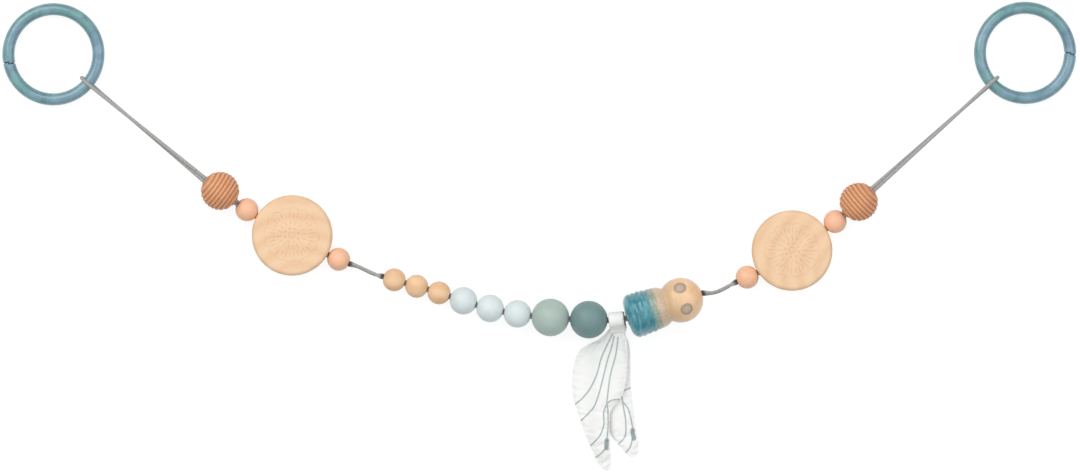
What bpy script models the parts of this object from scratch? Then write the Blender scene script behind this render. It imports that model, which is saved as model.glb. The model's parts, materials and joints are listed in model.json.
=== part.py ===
"""Pram chain toy, laid flat on a table.

A doubled elastic carries wooden beads, two drilled discs, a turned dragonfly figure and a cloth
tab with a pair of padded wings. Each end of the elastic loops round a snap ring.
X runs along the toy from left to right, Y runs away from the wings, Z is up, the table is Z = 0.
The origin is the middle of the toy's outline, on the table. Lengths are metres, angles degrees.
"""

from collections import namedtuple
from math import acos, asin, atan2, cos, hypot, pi, radians, sin, sqrt

import bmesh
import bpy
from mathutils import Matrix, Vector

# Beads
SMALL_BEAD_DIAMETER = 0.012
PALE_BEAD_DIAMETER = 0.0144
LARGE_BEAD_DIAMETER = 0.020
GROOVED_BEAD_DIAMETER = 0.0201
BORE_DIAMETER = 0.0044
GROOVE_DEPTH = 0.0006
GROOVE_COUNT = 9

# Discs, bored from rim to rim
DISC_DIAMETER = 0.0426
DISC_THICKNESS = 0.012
DISC_EDGE_ROUNDING = 0.0022

# Turned dragonfly figure, measured along its bore from the tail end
FIGURE_HEAD_CENTRE = 0.0302
FIGURE_HEAD_RADIUS = 0.0119
FIGURE_BODY_RADIUS = 0.0122
FIGURE_SHOULDER_RADIUS = 0.0110
FIGURE_NECK_RADIUS = 0.0091
FIGURE_DOME_LENGTH = 0.0042
FIGURE_DOME_STEP_SHARES = (0.0, 0.06, 0.22, 0.5, 1.0)
FIGURE_DOME_POWER_ALONG = 3.2
FIGURE_DOME_POWER_OUTWARD = 0.55
FIGURE_RIBBED_LENGTH = 0.0096
FIGURE_SHOULDER_LENGTH = 0.0064
FIGURE_RIB_DEPTH = 0.0007
FIGURE_RIB_COUNT = 4
FIGURE_POCKET_RADIUS = 0.0044
FIGURE_POCKET_DEPTH = 0.009

# Elastic, two round strands side by side
STRAND_DIAMETER = 0.00165
STRAND_SPACING = 0.0016
STRAND_NOTCH_HEIGHT = 0.00035
LEG_SPACING = 0.00188
LEG_CROSSING_OFFSET = 0.00042
CORD_END_CLEARANCE = 0.0003
CORD_END_TAPER_LENGTH = 0.00035
KNOT_RADIUS = 0.0031
KNOT_LENGTH = 0.0052
LEFT_LEAD_REACH = 0.0805
RIGHT_LEAD_REACH = 0.0846
LEFT_STRETCH_LENGTH = 0.0186
RIGHT_STRETCH_LENGTH = 0.0195

# Gaps between neighbours, measured along the elastic from pole to pole
BEAD_GAP = 0.0004
WIDE_BEAD_GAP = 0.0015
TAB_GAP = 0.0009
FIGURE_GAP = 0.0011

# Snap rings
RING_OUTER_DIAMETER = 0.0543
RING_BAR_DIAMETER = 0.0064
RING_SEAM_WIDTH = 0.0003
RING_SEAM_STEP = 0.0009
HITCH_CLEARANCE = 0.0003

# Cloth tab, sewn loop and gusset where both wings join it
TAB_WIDTH = 0.0082
TAB_LOOP_RADIUS = 0.0041
TAB_HOLE_RADIUS = 0.0023
TAB_PINCH_REACH = 0.0060
TAB_PINCH_THICKNESS = 0.0020
GUSSET_START_REACH = 0.0051
GUSSET_END_REACH = 0.0113
GUSSET_START_DROP = 0.0026
GUSSET_START_SHARE = 0.9

# Padded wings, how squarely they are filled across, and how they thin over the last of their length
FRONT_WING_LENGTH = 0.0691
FRONT_WING_WIDTH = 0.0297
BACK_WING_LENGTH = 0.0618
BACK_WING_WIDTH = 0.0207
WING_THICKNESS = 0.0028
WING_HEM_THICKNESS = 0.0009
WING_CLEARANCE = 0.0003
WING_CROWN_POWER = 4
WING_TIP_RUN_SHARE = 0.2
WING_TIP_CROWN_SHARE = 0.15

# Overrun of every cutter beyond what it cuts
CUTTER_OVERRUN = 0.001

# Plan headings of the leads and tilts, in degrees
LEFT_LEAD_HEADING = -39.6
RIGHT_LEAD_HEADING = 41.8
OUTER_PEACH_TILT = 12.0
LEFT_SEAM_ANGLE = -129.0
RIGHT_SEAM_ANGLE = 137.0
TAB_PINCH_ANGLE = -156.0
TAB_SHOULDER_ANGLE = 62.0

# How far the elastic has climbed from the discs to the figure, before each piece from the third
# natural bead to the figure
CLIMB_SHARES = (0.01, 0.10, 0.30, 0.42, 0.56, 0.73, 0.83, 1.0)

# Wing outlines: distance down the wing as a share of its length, then the left and right edges as
# shares of its width, counted from the middle of the tab
FRONT_WING_OUTLINE_SHARES = (
    (0.0, -0.31, 0.19),
    (0.02, -0.46, 0.19),
    (0.08, -0.66, 0.19),
    (0.17, -0.76, 0.19),
    (0.29, -0.81, 0.17),
    (0.39, -0.80, 0.12),
    (0.45, -0.77, 0.04),
    (0.51, -0.73, -0.09),
    (0.57, -0.68, -0.13),
    (0.68, -0.60, -0.13),
    (0.82, -0.46, -0.12),
    (0.91, -0.37, -0.10),
    (0.97, -0.27, -0.12),
    (1.0, -0.20, -0.16),
)
BACK_WING_OUTLINE_SHARES = (
    (0.0, -0.25, 0.29),
    (0.12, -0.42, 0.35),
    (0.36, -0.42, 0.35),
    (0.54, -0.38, 0.41),
    (0.66, -0.32, 0.46),
    (0.80, -0.17, 0.51),
    (0.88, 0.02, 0.56),
    (0.96, 0.22, 0.55),
    (1.0, 0.36, 0.43),
)

# Where the front wing starts to lie on the back wing, as shares of its width from the tab's middle
FRONT_WING_STEP_START_SHARE = -0.62
FRONT_WING_STEP_END_SHARE = -0.34

# Where the front wing starts to droop to the table past the back wing, as a share of its length
FRONT_WING_DROOP_START_SHARE = 0.74

# Gusset widths at its middle and end, as shares of the front wing's width from the tab's middle
GUSSET_MIDDLE_LEFT_SHARE = -0.165
GUSSET_MIDDLE_RIGHT_SHARE = 0.15
GUSSET_END_LEFT_SHARE = -0.30
GUSSET_END_RIGHT_SHARE = 0.185

# Narrowing of the elastic at a bending point, the straight run inside each piece as a share of
# the piece, and how hard the bare elastic pulls straight out of each bore
CORD_END_SHARE = 0.7
CORD_RUN_SHARE = 0.4
STRETCH_PULL_SHARE = 0.42

# Mesh fineness
BEAD_SIDES = 16
BEAD_ARC_STEPS = 8
LARGE_BEAD_SIDES = 20
LARGE_BEAD_ARC_STEPS = 10
GROOVED_BEAD_SIDES = 22
DISC_SIDES = 40
DISC_EDGE_STEPS = 3
FIGURE_SIDES = 24
FIGURE_HEAD_STEPS = 9
RING_SIDES = 40
RING_BAR_SIDES = 10
STRAND_SIDES = 8
LEG_STEPS = 6
HITCH_STEPS = 10
STRETCH_STEPS = 7
LOOP_STEPS = 14
WING_COLUMNS = 6
SHARP_ANGLE = 40.0

# Colours as sRGB values
COLOURS = {
    "ring_blue": (0.42, 0.63, 0.66),
    "elastic_grey": (0.65, 0.64, 0.62),
    "grooved_brown": (0.80, 0.53, 0.36),
    "peach": (0.98, 0.77, 0.63),
    "disc_wood": (0.96, 0.82, 0.66),
    "natural_wood": (0.96, 0.79, 0.60),
    "pale_blue": (0.87, 0.91, 0.93),
    "sage": (0.64, 0.74, 0.71),
    "teal": (0.38, 0.56, 0.56),
    "figure_blue": (0.24, 0.55, 0.63),
    "wing_cotton": (0.95, 0.95, 0.94),
}

ROUGHNESS = {
    "ring_blue": 0.25,
    "elastic_grey": 0.9,
    "grooved_brown": 0.55,
    "peach": 0.5,
    "disc_wood": 0.6,
    "natural_wood": 0.5,
    "pale_blue": 0.5,
    "sage": 0.5,
    "teal": 0.5,
    "figure_blue": 0.35,
    "wing_cotton": 0.9,
}

Piece = namedtuple("Piece", "name form length heading gap_after")
Frame = namedtuple("Frame", "piece start end centre along matrix")

FIGURE_LENGTH = FIGURE_HEAD_CENTRE + FIGURE_HEAD_RADIUS
RING_MIDDLE_RADIUS = (RING_OUTER_DIAMETER - RING_BAR_DIAMETER) / 2
HITCH_RADIUS = RING_BAR_DIAMETER / 2 + HITCH_CLEARANCE + STRAND_DIAMETER / 2
HITCH_HEIGHT = HITCH_RADIUS + STRAND_DIAMETER / 2
FRONT_WING_LIFT = WING_THICKNESS + WING_CLEARANCE
CREASE_REACH = GUSSET_END_REACH + WING_CLEARANCE

# The elastic's load from left to right, with plan headings
CHAIN = (
    Piece("left_grooved_bead", "grooved", GROOVED_BEAD_DIAMETER, -36.0, WIDE_BEAD_GAP),
    Piece("left_outer_peach_bead", "peach", SMALL_BEAD_DIAMETER, -34.0, BEAD_GAP),
    Piece("left_disc", "disc", DISC_DIAMETER, -28.3, BEAD_GAP),
    Piece("left_inner_peach_bead", "peach", SMALL_BEAD_DIAMETER, -23.5, BEAD_GAP),
    Piece("left_stretch", "stretch", LEFT_STRETCH_LENGTH, -20.5, BEAD_GAP),
    Piece("natural_bead_1", "natural", SMALL_BEAD_DIAMETER, -16.5, BEAD_GAP),
    Piece("natural_bead_2", "natural", SMALL_BEAD_DIAMETER, -15.5, BEAD_GAP),
    Piece("natural_bead_3", "natural", SMALL_BEAD_DIAMETER, -17.5, BEAD_GAP),
    Piece("pale_bead_1", "pale", PALE_BEAD_DIAMETER, -18.0, BEAD_GAP),
    Piece("pale_bead_2", "pale", PALE_BEAD_DIAMETER, -14.0, BEAD_GAP),
    Piece("pale_bead_3", "pale", PALE_BEAD_DIAMETER, -8.5, BEAD_GAP),
    Piece("sage_bead", "sage", LARGE_BEAD_DIAMETER, -4.5, BEAD_GAP),
    Piece("teal_bead", "teal", LARGE_BEAD_DIAMETER, -2.0, TAB_GAP),
    Piece("wing_tab", "tab", TAB_WIDTH, 6.0, FIGURE_GAP),
    Piece("dragonfly_figure", "figure", FIGURE_LENGTH, 18.5, BEAD_GAP),
    Piece("right_stretch", "stretch", RIGHT_STRETCH_LENGTH, 17.6, BEAD_GAP),
    Piece("right_inner_peach_bead", "peach", SMALL_BEAD_DIAMETER, 24.0, BEAD_GAP),
    Piece("right_disc", "disc", DISC_DIAMETER, 32.7, BEAD_GAP),
    Piece("right_outer_peach_bead", "peach", SMALL_BEAD_DIAMETER, 38.0, BEAD_GAP),
    Piece("right_grooved_bead", "grooved", GROOVED_BEAD_DIAMETER, 41.5, BEAD_GAP),
)

# Each length of elastic between two bending points, with the pieces threaded on it
CORD_LINKS = (
    ("left_grooved_cord", ("left_grooved_bead",)),
    ("left_disc_cord", ("left_outer_peach_bead", "left_disc", "left_inner_peach_bead")),
    ("natural_cord", ("natural_bead_1", "natural_bead_2", "natural_bead_3")),
    ("pale_cord", ("pale_bead_1", "pale_bead_2", "pale_bead_3")),
    ("large_cord", ("sage_bead", "teal_bead")),
    ("tab_cord", ("wing_tab",)),
    ("figure_cord", ("dragonfly_figure",)),
    ("right_disc_cord", ("right_inner_peach_bead", "right_disc", "right_outer_peach_bead")),
    ("right_grooved_cord", ("right_grooved_bead",)),
)
BEAD_COLOURS = {
    "peach": "peach",
    "natural": "natural_wood",
    "pale": "pale_blue",
    "sage": "sage",
    "teal": "teal",
}


def plan_direction(heading):
    """Unit vector on the table at this heading."""
    return Vector((cos(radians(heading)), sin(radians(heading)), 0))


def cord_frame(point, along):
    """Axes at a point: X along the elastic, Y level and to its left, Z upwards."""
    left = Vector((0, 0, 1)).cross(along).normalized()
    up = along.cross(left)
    axes = Matrix((along, left, up)).transposed().to_4x4()
    return Matrix.Translation(point) @ axes


def gap_heights():
    """Height of the elastic before each piece, and after the last."""
    low = max(DISC_THICKNESS, SMALL_BEAD_DIAMETER) / 2
    peach_top = low + SMALL_BEAD_DIAMETER * sin(radians(OUTER_PEACH_TILT))
    outer = GROOVED_BEAD_DIAMETER - peach_top
    span = FIGURE_HEAD_CENTRE - FIGURE_DOME_LENGTH
    lean = acos(FIGURE_HEAD_RADIUS / hypot(span, FIGURE_BODY_RADIUS))
    lean -= atan2(span, FIGURE_BODY_RADIUS)
    figure_start = FIGURE_HEAD_RADIUS + (FIGURE_HEAD_CENTRE + FIGURE_GAP / 2) * sin(lean)
    figure_end = FIGURE_HEAD_RADIUS - (FIGURE_HEAD_RADIUS + BEAD_GAP / 2) * sin(lean)
    climb = [low + share * (figure_start - low) for share in CLIMB_SHARES]
    left = [outer, peach_top] + [low] * 5
    right = [figure_end] + [low] * 3 + [peach_top, outer]
    return left + climb + right


def walk_chain(start):
    """The frame of each piece, laid end to end from this point, and the end point."""
    heights = gap_heights()
    frames = []
    gap_before = BEAD_GAP
    point = start
    for index, piece in enumerate(CHAIN):
        step = gap_before / 2 + piece.length + piece.gap_after / 2
        rise = heights[index + 1] - heights[index]
        reach = sqrt(step * step - rise * rise)
        along = (plan_direction(piece.heading) * reach + Vector((0, 0, rise))) / step
        end = point + along * step
        centre = point + along * (gap_before / 2 + piece.length / 2)
        frames.append(Frame(piece, point, end, centre, along, cord_frame(centre, along)))
        point = end
        gap_before = piece.gap_after
    return frames, point


def ring_lean():
    """How far a ring leans because a strand runs under its bar, in radians."""
    return asin((HITCH_HEIGHT - RING_BAR_DIAMETER / 2) / (2 * RING_MIDDLE_RADIUS))


def ring_matrix(hitch, outward):
    """Axes of a ring: origin in its bar at the hitch, X from the ring's centre to the hitch."""
    across = Vector((0, 0, 1)).cross(outward)
    leaning = outward * cos(ring_lean()) + Vector((0, 0, sin(ring_lean())))
    axes = Matrix((leaning, across, leaning.cross(across))).transposed().to_4x4()
    return Matrix.Translation(hitch) @ axes


def lay_out():
    """The chain's frames and both hitches, with the toy's outline centred on the origin."""
    hitch = Vector((0, 0, HITCH_HEIGHT))
    left_out = plan_direction(LEFT_LEAD_HEADING)
    start = hitch + left_out * LEFT_LEAD_REACH
    start.z = gap_heights()[0]
    frames, end = walk_chain(start)
    right_out = -plan_direction(RIGHT_LEAD_HEADING)
    far_hitch = end - right_out * RIGHT_LEAD_REACH
    far_hitch.z = HITCH_HEIGHT
    half = RING_OUTER_DIAMETER / 2
    reach = RING_MIDDLE_RADIUS * cos(ring_lean())
    left_centre = hitch - left_out * reach
    right_centre = far_hitch - right_out * reach
    tab = next(frame.centre for frame in frames if frame.piece.form == "tab")
    lowest = tab.y - CREASE_REACH - FRONT_WING_LENGTH
    highest = max(left_centre.y, right_centre.y) + half
    middle_x = (left_centre.x - half + right_centre.x + half) / 2
    shift = Vector((-middle_x, -(lowest + highest) / 2, 0))
    moved = [
        Frame(f.piece, f.start + shift, f.end + shift, f.centre + shift, f.along,
              Matrix.Translation(shift) @ f.matrix)
        for f in frames
    ]
    return moved, hitch + shift, far_hitch + shift


def srgb_to_linear(value):
    return value / 12.92 if value <= 0.04045 else ((value + 0.055) / 1.055) ** 2.4


def make_material(name):
    material = bpy.data.materials.new(name)
    material.use_nodes = True
    shader = material.node_tree.nodes["Principled BSDF"]
    colour = [srgb_to_linear(value) for value in COLOURS[name]]
    shader.inputs["Base Color"].default_value = (*colour, 1)
    shader.inputs["Roughness"].default_value = ROUGHNESS[name]
    shader.inputs["Metallic"].default_value = 0
    material.diffuse_color = (*colour, 1)
    return material


def add_object(name, bm, matrix, slot):
    """A mesh object of its own material, smooth where it is round."""
    bmesh.ops.recalc_face_normals(bm, faces=bm.faces)
    mesh = bpy.data.meshes.new(name)
    bm.to_mesh(mesh)
    bm.free()
    mesh.shade_smooth()
    mesh.set_sharp_from_angle(angle=radians(SHARP_ANGLE))
    obj = bpy.data.objects.new(name, mesh)
    obj.matrix_world = matrix
    mesh.materials.append(make_material(slot))
    bpy.context.scene.collection.objects.link(obj)
    return obj


def add_cutter(name, bm, matrix):
    cutter = add_object(name, bm, matrix, "elastic_grey")
    cutter.hide_render = True
    cutter.display_type = "WIRE"
    return cutter


def add_boolean(obj, other, operation):
    modifier = obj.modifiers.new(operation.lower(), "BOOLEAN")
    modifier.operation = operation
    modifier.solver = "EXACT"
    modifier.object = other


def hang_on(child, parent):
    """Parents one object to another without moving it."""
    child.parent = parent
    child.matrix_parent_inverse = parent.matrix_world.inverted()


def lathe(profile, sides, axis):
    """A closed profile of (along, radius) points turned about an axis, X or Z."""
    bm = bmesh.new()
    rings = []
    for side in range(sides):
        angle = 2 * pi * side / sides
        ring = []
        for along, radius in profile:
            level = (radius * cos(angle), radius * sin(angle))
            place = (along, *level) if axis == "X" else (*level, along)
            ring.append(bm.verts.new(place))
        rings.append(ring)
    for side, ring in enumerate(rings):
        following = rings[(side + 1) % sides]
        for index in range(len(profile)):
            after = (index + 1) % len(profile)
            bm.faces.new((ring[index], ring[after], following[after], following[index]))
    return bm


def arc(centre, radius, start, end, steps):
    """Points (along, radius) on an arc from one angle to another, ends included."""
    angles = [start + (end - start) * step / steps for step in range(steps + 1)]
    return [(centre + radius * cos(angle), radius * sin(angle)) for angle in angles]


def bead_profile(diameter, steps):
    mouth = asin(BORE_DIAMETER / diameter)
    return arc(0, diameter / 2, mouth, pi - mouth, steps)


def grooved_profile():
    """A ball with turned V grooves from one bore mouth to the other."""
    mouth = asin(BORE_DIAMETER / GROOVED_BEAD_DIAMETER)
    steps = 2 * GROOVE_COUNT + 2
    profile = []
    for step in range(steps + 1):
        depth = GROOVE_DEPTH if step % 2 and step not in (0, steps) else 0
        angle = mouth + (pi - 2 * mouth) * step / steps
        radius = GROOVED_BEAD_DIAMETER / 2 - depth
        profile.append((radius * cos(angle), max(radius * sin(angle), BORE_DIAMETER / 2)))
    return profile


def figure_profile():
    """The figure's section, from the pocket's rim over the tail to the head, and back inside."""
    start = -FIGURE_LENGTH / 2
    profile = []
    dome_share = FIGURE_POCKET_RADIUS / FIGURE_BODY_RADIUS
    for share in FIGURE_DOME_STEP_SHARES:
        rise = (1 - (1 - share) ** FIGURE_DOME_POWER_ALONG) ** FIGURE_DOME_POWER_OUTWARD
        swell = dome_share + (1 - dome_share) * rise
        profile.append((start + FIGURE_DOME_LENGTH * share, FIGURE_BODY_RADIUS * swell))
    taper = FIGURE_BODY_RADIUS - FIGURE_SHOULDER_RADIUS
    for step in range(1, 2 * FIGURE_RIB_COUNT + 1):
        share = step / (2 * FIGURE_RIB_COUNT)
        along = start + FIGURE_DOME_LENGTH + FIGURE_RIBBED_LENGTH * share
        radius = FIGURE_BODY_RADIUS - taper * share / 2
        profile.append((along, radius - FIGURE_RIB_DEPTH * (step % 2)))
    shoulder = start + FIGURE_DOME_LENGTH + FIGURE_RIBBED_LENGTH + FIGURE_SHOULDER_LENGTH
    profile.append((shoulder, FIGURE_SHOULDER_RADIUS))
    neck_angle = pi - asin(FIGURE_NECK_RADIUS / FIGURE_HEAD_RADIUS)
    mouth_angle = asin(BORE_DIAMETER / 2 / FIGURE_HEAD_RADIUS)
    head = start + FIGURE_HEAD_CENTRE
    profile += arc(head, FIGURE_HEAD_RADIUS, neck_angle, mouth_angle, FIGURE_HEAD_STEPS)
    floor = start + FIGURE_POCKET_DEPTH
    profile += [(floor, BORE_DIAMETER / 2), (floor, FIGURE_POCKET_RADIUS)]
    return profile


def add_bead(frame):
    """A drilled wooden ball, or the turned figure, on its length of elastic."""
    form = frame.piece.form
    name = frame.piece.name
    if form == "grooved":
        bm = lathe(grooved_profile(), GROOVED_BEAD_SIDES, "X")
        return add_object(name, bm, frame.matrix, "grooved_brown")
    if form == "figure":
        bm = lathe(figure_profile(), FIGURE_SIDES, "X")
        return add_object(name, bm, frame.matrix, "figure_blue")
    large = form in ("sage", "teal")
    sides = LARGE_BEAD_SIDES if large else BEAD_SIDES
    steps = LARGE_BEAD_ARC_STEPS if large else BEAD_ARC_STEPS
    bm = lathe(bead_profile(frame.piece.length, steps), sides, "X")
    return add_object(name, bm, frame.matrix, BEAD_COLOURS[form])


def add_disc(frame):
    """A flat disc with rounded edges, bored through from rim to rim."""
    bm = bmesh.new()
    bmesh.ops.create_cone(
        bm, cap_ends=True, segments=DISC_SIDES, radius1=DISC_DIAMETER / 2,
        radius2=DISC_DIAMETER / 2, depth=DISC_THICKNESS,
    )
    disc = add_object(frame.piece.name, bm, frame.matrix, "disc_wood")
    edge = disc.modifiers.new("rounding", "BEVEL")
    edge.width = DISC_EDGE_ROUNDING
    edge.segments = DISC_EDGE_STEPS
    edge.limit_method = "ANGLE"
    length = DISC_DIAMETER + 2 * CUTTER_OVERRUN
    bore = arc_ring(BORE_DIAMETER / 2, BEAD_SIDES)
    cutter = add_cutter(f"{frame.piece.name}_bore", prism(bore, length), frame.matrix)
    add_boolean(disc, cutter, "DIFFERENCE")
    hang_on(cutter, disc)
    return disc


def arc_ring(radius, sides):
    """Points (y, z) round a circle."""
    angles = [2 * pi * side / sides for side in range(sides)]
    return [(radius * cos(angle), radius * sin(angle)) for angle in angles]


def prism(outline, length):
    """A flat (y, z) outline drawn out along X, centred."""
    bm = bmesh.new()
    ends = []
    for x in (-length / 2, length / 2):
        ends.append([bm.verts.new((x, y, z)) for y, z in outline])
    bm.faces.new(ends[0])
    bm.faces.new(ends[1][::-1])
    for index in range(len(outline)):
        after = (index + 1) % len(outline)
        bm.faces.new((ends[0][index], ends[0][after], ends[1][after], ends[1][index]))
    return bm


def loft(sections):
    """A closed skin over rings of equally many points."""
    bm = bmesh.new()
    rings = [[bm.verts.new(point) for point in section] for section in sections]
    count = len(rings[0])
    for ring, following in zip(rings, rings[1:]):
        for index in range(count):
            after = (index + 1) % count
            bm.faces.new((ring[index], ring[after], following[after], following[index]))
    bm.faces.new(rings[0])
    bm.faces.new(rings[-1][::-1])
    return bm


def cord_section():
    """Outline (y, z) of the two strands pressed together side by side."""
    outline = []
    for side in (1, -1):
        for angle in (-120, -60, 0, 60, 120):
            turn = radians(angle)
            y = STRAND_SPACING / 2 + STRAND_DIAMETER / 2 * cos(turn)
            outline.append((side * y, side * STRAND_DIAMETER / 2 * sin(turn)))
        outline.append((0, side * STRAND_NOTCH_HEIGHT))
    return outline


def cord_ring(point, along, roll, scale):
    """The strands' outline at one point of the route."""
    frame = cord_frame(point, along)
    ring = []
    for y, z in cord_section():
        turned = (y * cos(roll) - z * sin(roll), y * sin(roll) + z * cos(roll))
        ring.append(frame @ Vector((0, turned[0] * scale, turned[1] * scale)))
    return ring


def doubled_cord(name, stations, hinge):
    """Both strands along (point, direction, roll) stations, narrowed at each end."""
    first, second = stations[0], stations[1]
    last, before = stations[-1], stations[-2]
    sections = [
        cord_ring(first[0], first[1], first[2], CORD_END_SHARE),
        cord_ring(first[0] + first[1] * CORD_END_TAPER_LENGTH, first[1], first[2], 1),
    ]
    sections += [cord_ring(point, along, roll, 1) for point, along, roll in stations[1:-1]]
    sections += [
        cord_ring(last[0] - last[1] * CORD_END_TAPER_LENGTH, last[1], last[2], 1),
        cord_ring(last[0], last[1], last[2], CORD_END_SHARE),
    ]
    local = [[point - hinge for point in section] for section in sections]
    return add_object(name, loft(local), Matrix.Translation(hinge), "elastic_grey")


def link_stations(frames):
    """Stations of the elastic through neighbouring pieces, from one bending point to the next."""
    stations = [(frames[0].start + frames[0].along * CORD_END_CLEARANCE, frames[0].along, 0)]
    for index, frame in enumerate(frames):
        run = frame.along * frame.piece.length * CORD_RUN_SHARE
        stations += [(frame.centre - run, frame.along, 0), (frame.centre + run, frame.along, 0)]
        if index + 1 < len(frames):
            bend = (frame.along + frames[index + 1].along).normalized()
            stations.append((frame.end, bend, 0))
    last = frames[-1]
    stations.append((last.end - last.along * CORD_END_CLEARANCE, last.along, 0))
    return stations


def stretch_stations(frame, before, after):
    """The bare elastic between two pieces: an easy S that leaves each bore straight."""
    start = frame.start + before.along * CORD_END_CLEARANCE
    end = frame.end - after.along * CORD_END_CLEARANCE
    pull = (end - start).length * STRETCH_PULL_SHARE
    controls = (start, start + before.along * pull, end - after.along * pull, end)
    stations = []
    for step in range(STRETCH_STEPS + 1):
        t = step / STRETCH_STEPS
        weights = ((1 - t) ** 3, 3 * t * (1 - t) ** 2, 3 * t * t * (1 - t), t**3)
        point = sum((c * w for c, w in zip(controls, weights)), Vector())
        slopes = (3 * (1 - t) ** 2, 6 * t * (1 - t), 3 * t * t)
        along = sum(
            ((b - a) * w for a, b, w in zip(controls, controls[1:], slopes)), Vector()
        ).normalized()
        stations.append((point, along, pi * (3 * t * t - 2 * t**3)))
    return stations


def add_knot(name, cord, frame):
    """The knot that joins the elastic's ends, inside the figure's pocket."""
    bm = bmesh.new()
    bmesh.ops.create_uvsphere(bm, u_segments=12, v_segments=7, radius=1)
    size = Matrix.Diagonal((KNOT_RADIUS, KNOT_RADIUS, KNOT_LENGTH / 2, 1))
    bmesh.ops.transform(bm, matrix=Matrix.Rotation(pi / 2, 4, "Y") @ size, verts=bm.verts)
    inside = -FIGURE_LENGTH / 2 + FIGURE_POCKET_DEPTH / 2
    place = frame.matrix @ Matrix.Translation((inside, 0, 0))
    knot = add_cutter(name, bm, place)
    add_boolean(cord, knot, "UNION")
    hang_on(knot, cord)


def tube(points, sides, radius):
    """A round tube along points, each ring square to the route."""
    rings = []
    for index, point in enumerate(points):
        before = points[max(index - 1, 0)]
        after = points[min(index + 1, len(points) - 1)]
        along = (after - before).normalized()
        rings.append((point, along, radius))
    sections = []
    side_axis = Vector((0, 0, 1)).cross(rings[0][1]).normalized()
    for point, along, size in rings:
        side_axis = (side_axis - along * side_axis.dot(along)).normalized()
        other = along.cross(side_axis)
        ring = []
        for side in range(sides):
            angle = 2 * pi * side / sides
            ring.append(point + side_axis * size * cos(angle) + other * size * sin(angle))
        sections.append(ring)
    return sections


def lead_points(hitch, outward, bead_end):
    """One strand from the bead over the ring's bar, round its inner side and back beneath."""
    across = Vector((0, 0, 1)).cross(outward)
    reach = (bead_end - hitch).dot(outward) - CORD_END_CLEARANCE
    rise = bead_end.z - hitch.z
    span = hypot(reach, rise)
    lift = atan2(rise, reach)
    touch = acos(HITCH_RADIUS / span)
    top = lift + touch
    bottom = lift - touch + 2 * pi

    def place(distance, height, sideways):
        return hitch + outward * distance + across * sideways + Vector((0, 0, height))

    def leg(angle, side):
        foot = (HITCH_RADIUS * cos(angle), HITCH_RADIUS * sin(angle))
        points = []
        for step in range(LEG_STEPS):
            share = step / LEG_STEPS
            distance = reach + (foot[0] - reach) * share
            height = rise + (foot[1] - rise) * share
            sideways = LEG_SPACING / 2 * (1 - share) - LEG_CROSSING_OFFSET * share
            points.append(place(distance, height, side * sideways))
        return points

    points = leg(top, 1)
    for step in range(HITCH_STEPS + 1):
        share = step / HITCH_STEPS
        angle = top + (bottom - top) * share
        sideways = LEG_CROSSING_OFFSET * (2 * share - 1)
        points.append(place(HITCH_RADIUS * cos(angle), HITCH_RADIUS * sin(angle), sideways))
    return points + leg(bottom, -1)[::-1]


def add_lead(name, hitch, outward, bead_end):
    points = [point - bead_end for point in lead_points(hitch, outward, bead_end)]
    bm = loft(tube(points, STRAND_SIDES, STRAND_DIAMETER / 2))
    return add_object(name, bm, Matrix.Translation(bead_end), "elastic_grey")


def seam_outline():
    """The stepped slot of the snap joint, in (sideways, outward) from the bar's middle."""
    half = RING_SEAM_WIDTH / 2
    far = RING_BAR_DIAMETER / 2 + CUTTER_OVERRUN
    step = RING_SEAM_STEP
    return [
        (step - half, far), (step + half, far), (step + half, -half), (half - step, -half),
        (half - step, -far), (-half - step, -far), (-half - step, half), (step - half, half),
    ]


def add_ring(name, matrix, seam_angle):
    """A round bar bent into a ring, parted at its stepped snap joint."""
    bar = [
        (y, RING_MIDDLE_RADIUS + z)
        for y, z in arc_ring(RING_BAR_DIAMETER / 2, RING_BAR_SIDES)
    ]
    centre = Matrix.Translation((-RING_MIDDLE_RADIUS, 0, 0))
    bm = lathe(bar, RING_SIDES, "Z")
    bmesh.ops.transform(bm, matrix=centre, verts=bm.verts)
    ring = add_object(name, bm, matrix, "ring_blue")
    height = RING_BAR_DIAMETER + 2 * CUTTER_OVERRUN
    slot = prism(seam_outline(), height)
    upright = Matrix.Rotation(pi / 2, 4, "Y")
    sideways = Matrix.Rotation(-pi / 2, 4, "Z")
    outward = Matrix.Translation((RING_MIDDLE_RADIUS, 0, 0))
    turned = Matrix.Rotation(radians(seam_angle), 4, "Z")
    bmesh.ops.transform(
        slot, matrix=centre @ turned @ outward @ sideways @ upright, verts=slot.verts
    )
    cutter = add_cutter(f"{name}_seam", slot, matrix)
    add_boolean(ring, cutter, "DIFFERENCE")
    hang_on(cutter, ring)
    return ring


def tab_outline():
    """The sewn loop seen along the elastic: round, drawn in to the pinch."""
    pinch = radians(TAB_PINCH_ANGLE)
    shoulder = radians(TAB_SHOULDER_ANGLE)
    outline = []
    for step in range(LOOP_STEPS + 1):
        angle = pinch + shoulder + (2 * pi - 2 * shoulder) * step / LOOP_STEPS
        outline.append((TAB_LOOP_RADIUS * cos(angle), TAB_LOOP_RADIUS * sin(angle)))
    for side in (-1, 1):
        y = TAB_PINCH_REACH * cos(pinch) - side * TAB_PINCH_THICKNESS / 2 * sin(pinch)
        z = TAB_PINCH_REACH * sin(pinch) + side * TAB_PINCH_THICKNESS / 2 * cos(pinch)
        outline.append((y, z))
    return outline


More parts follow.
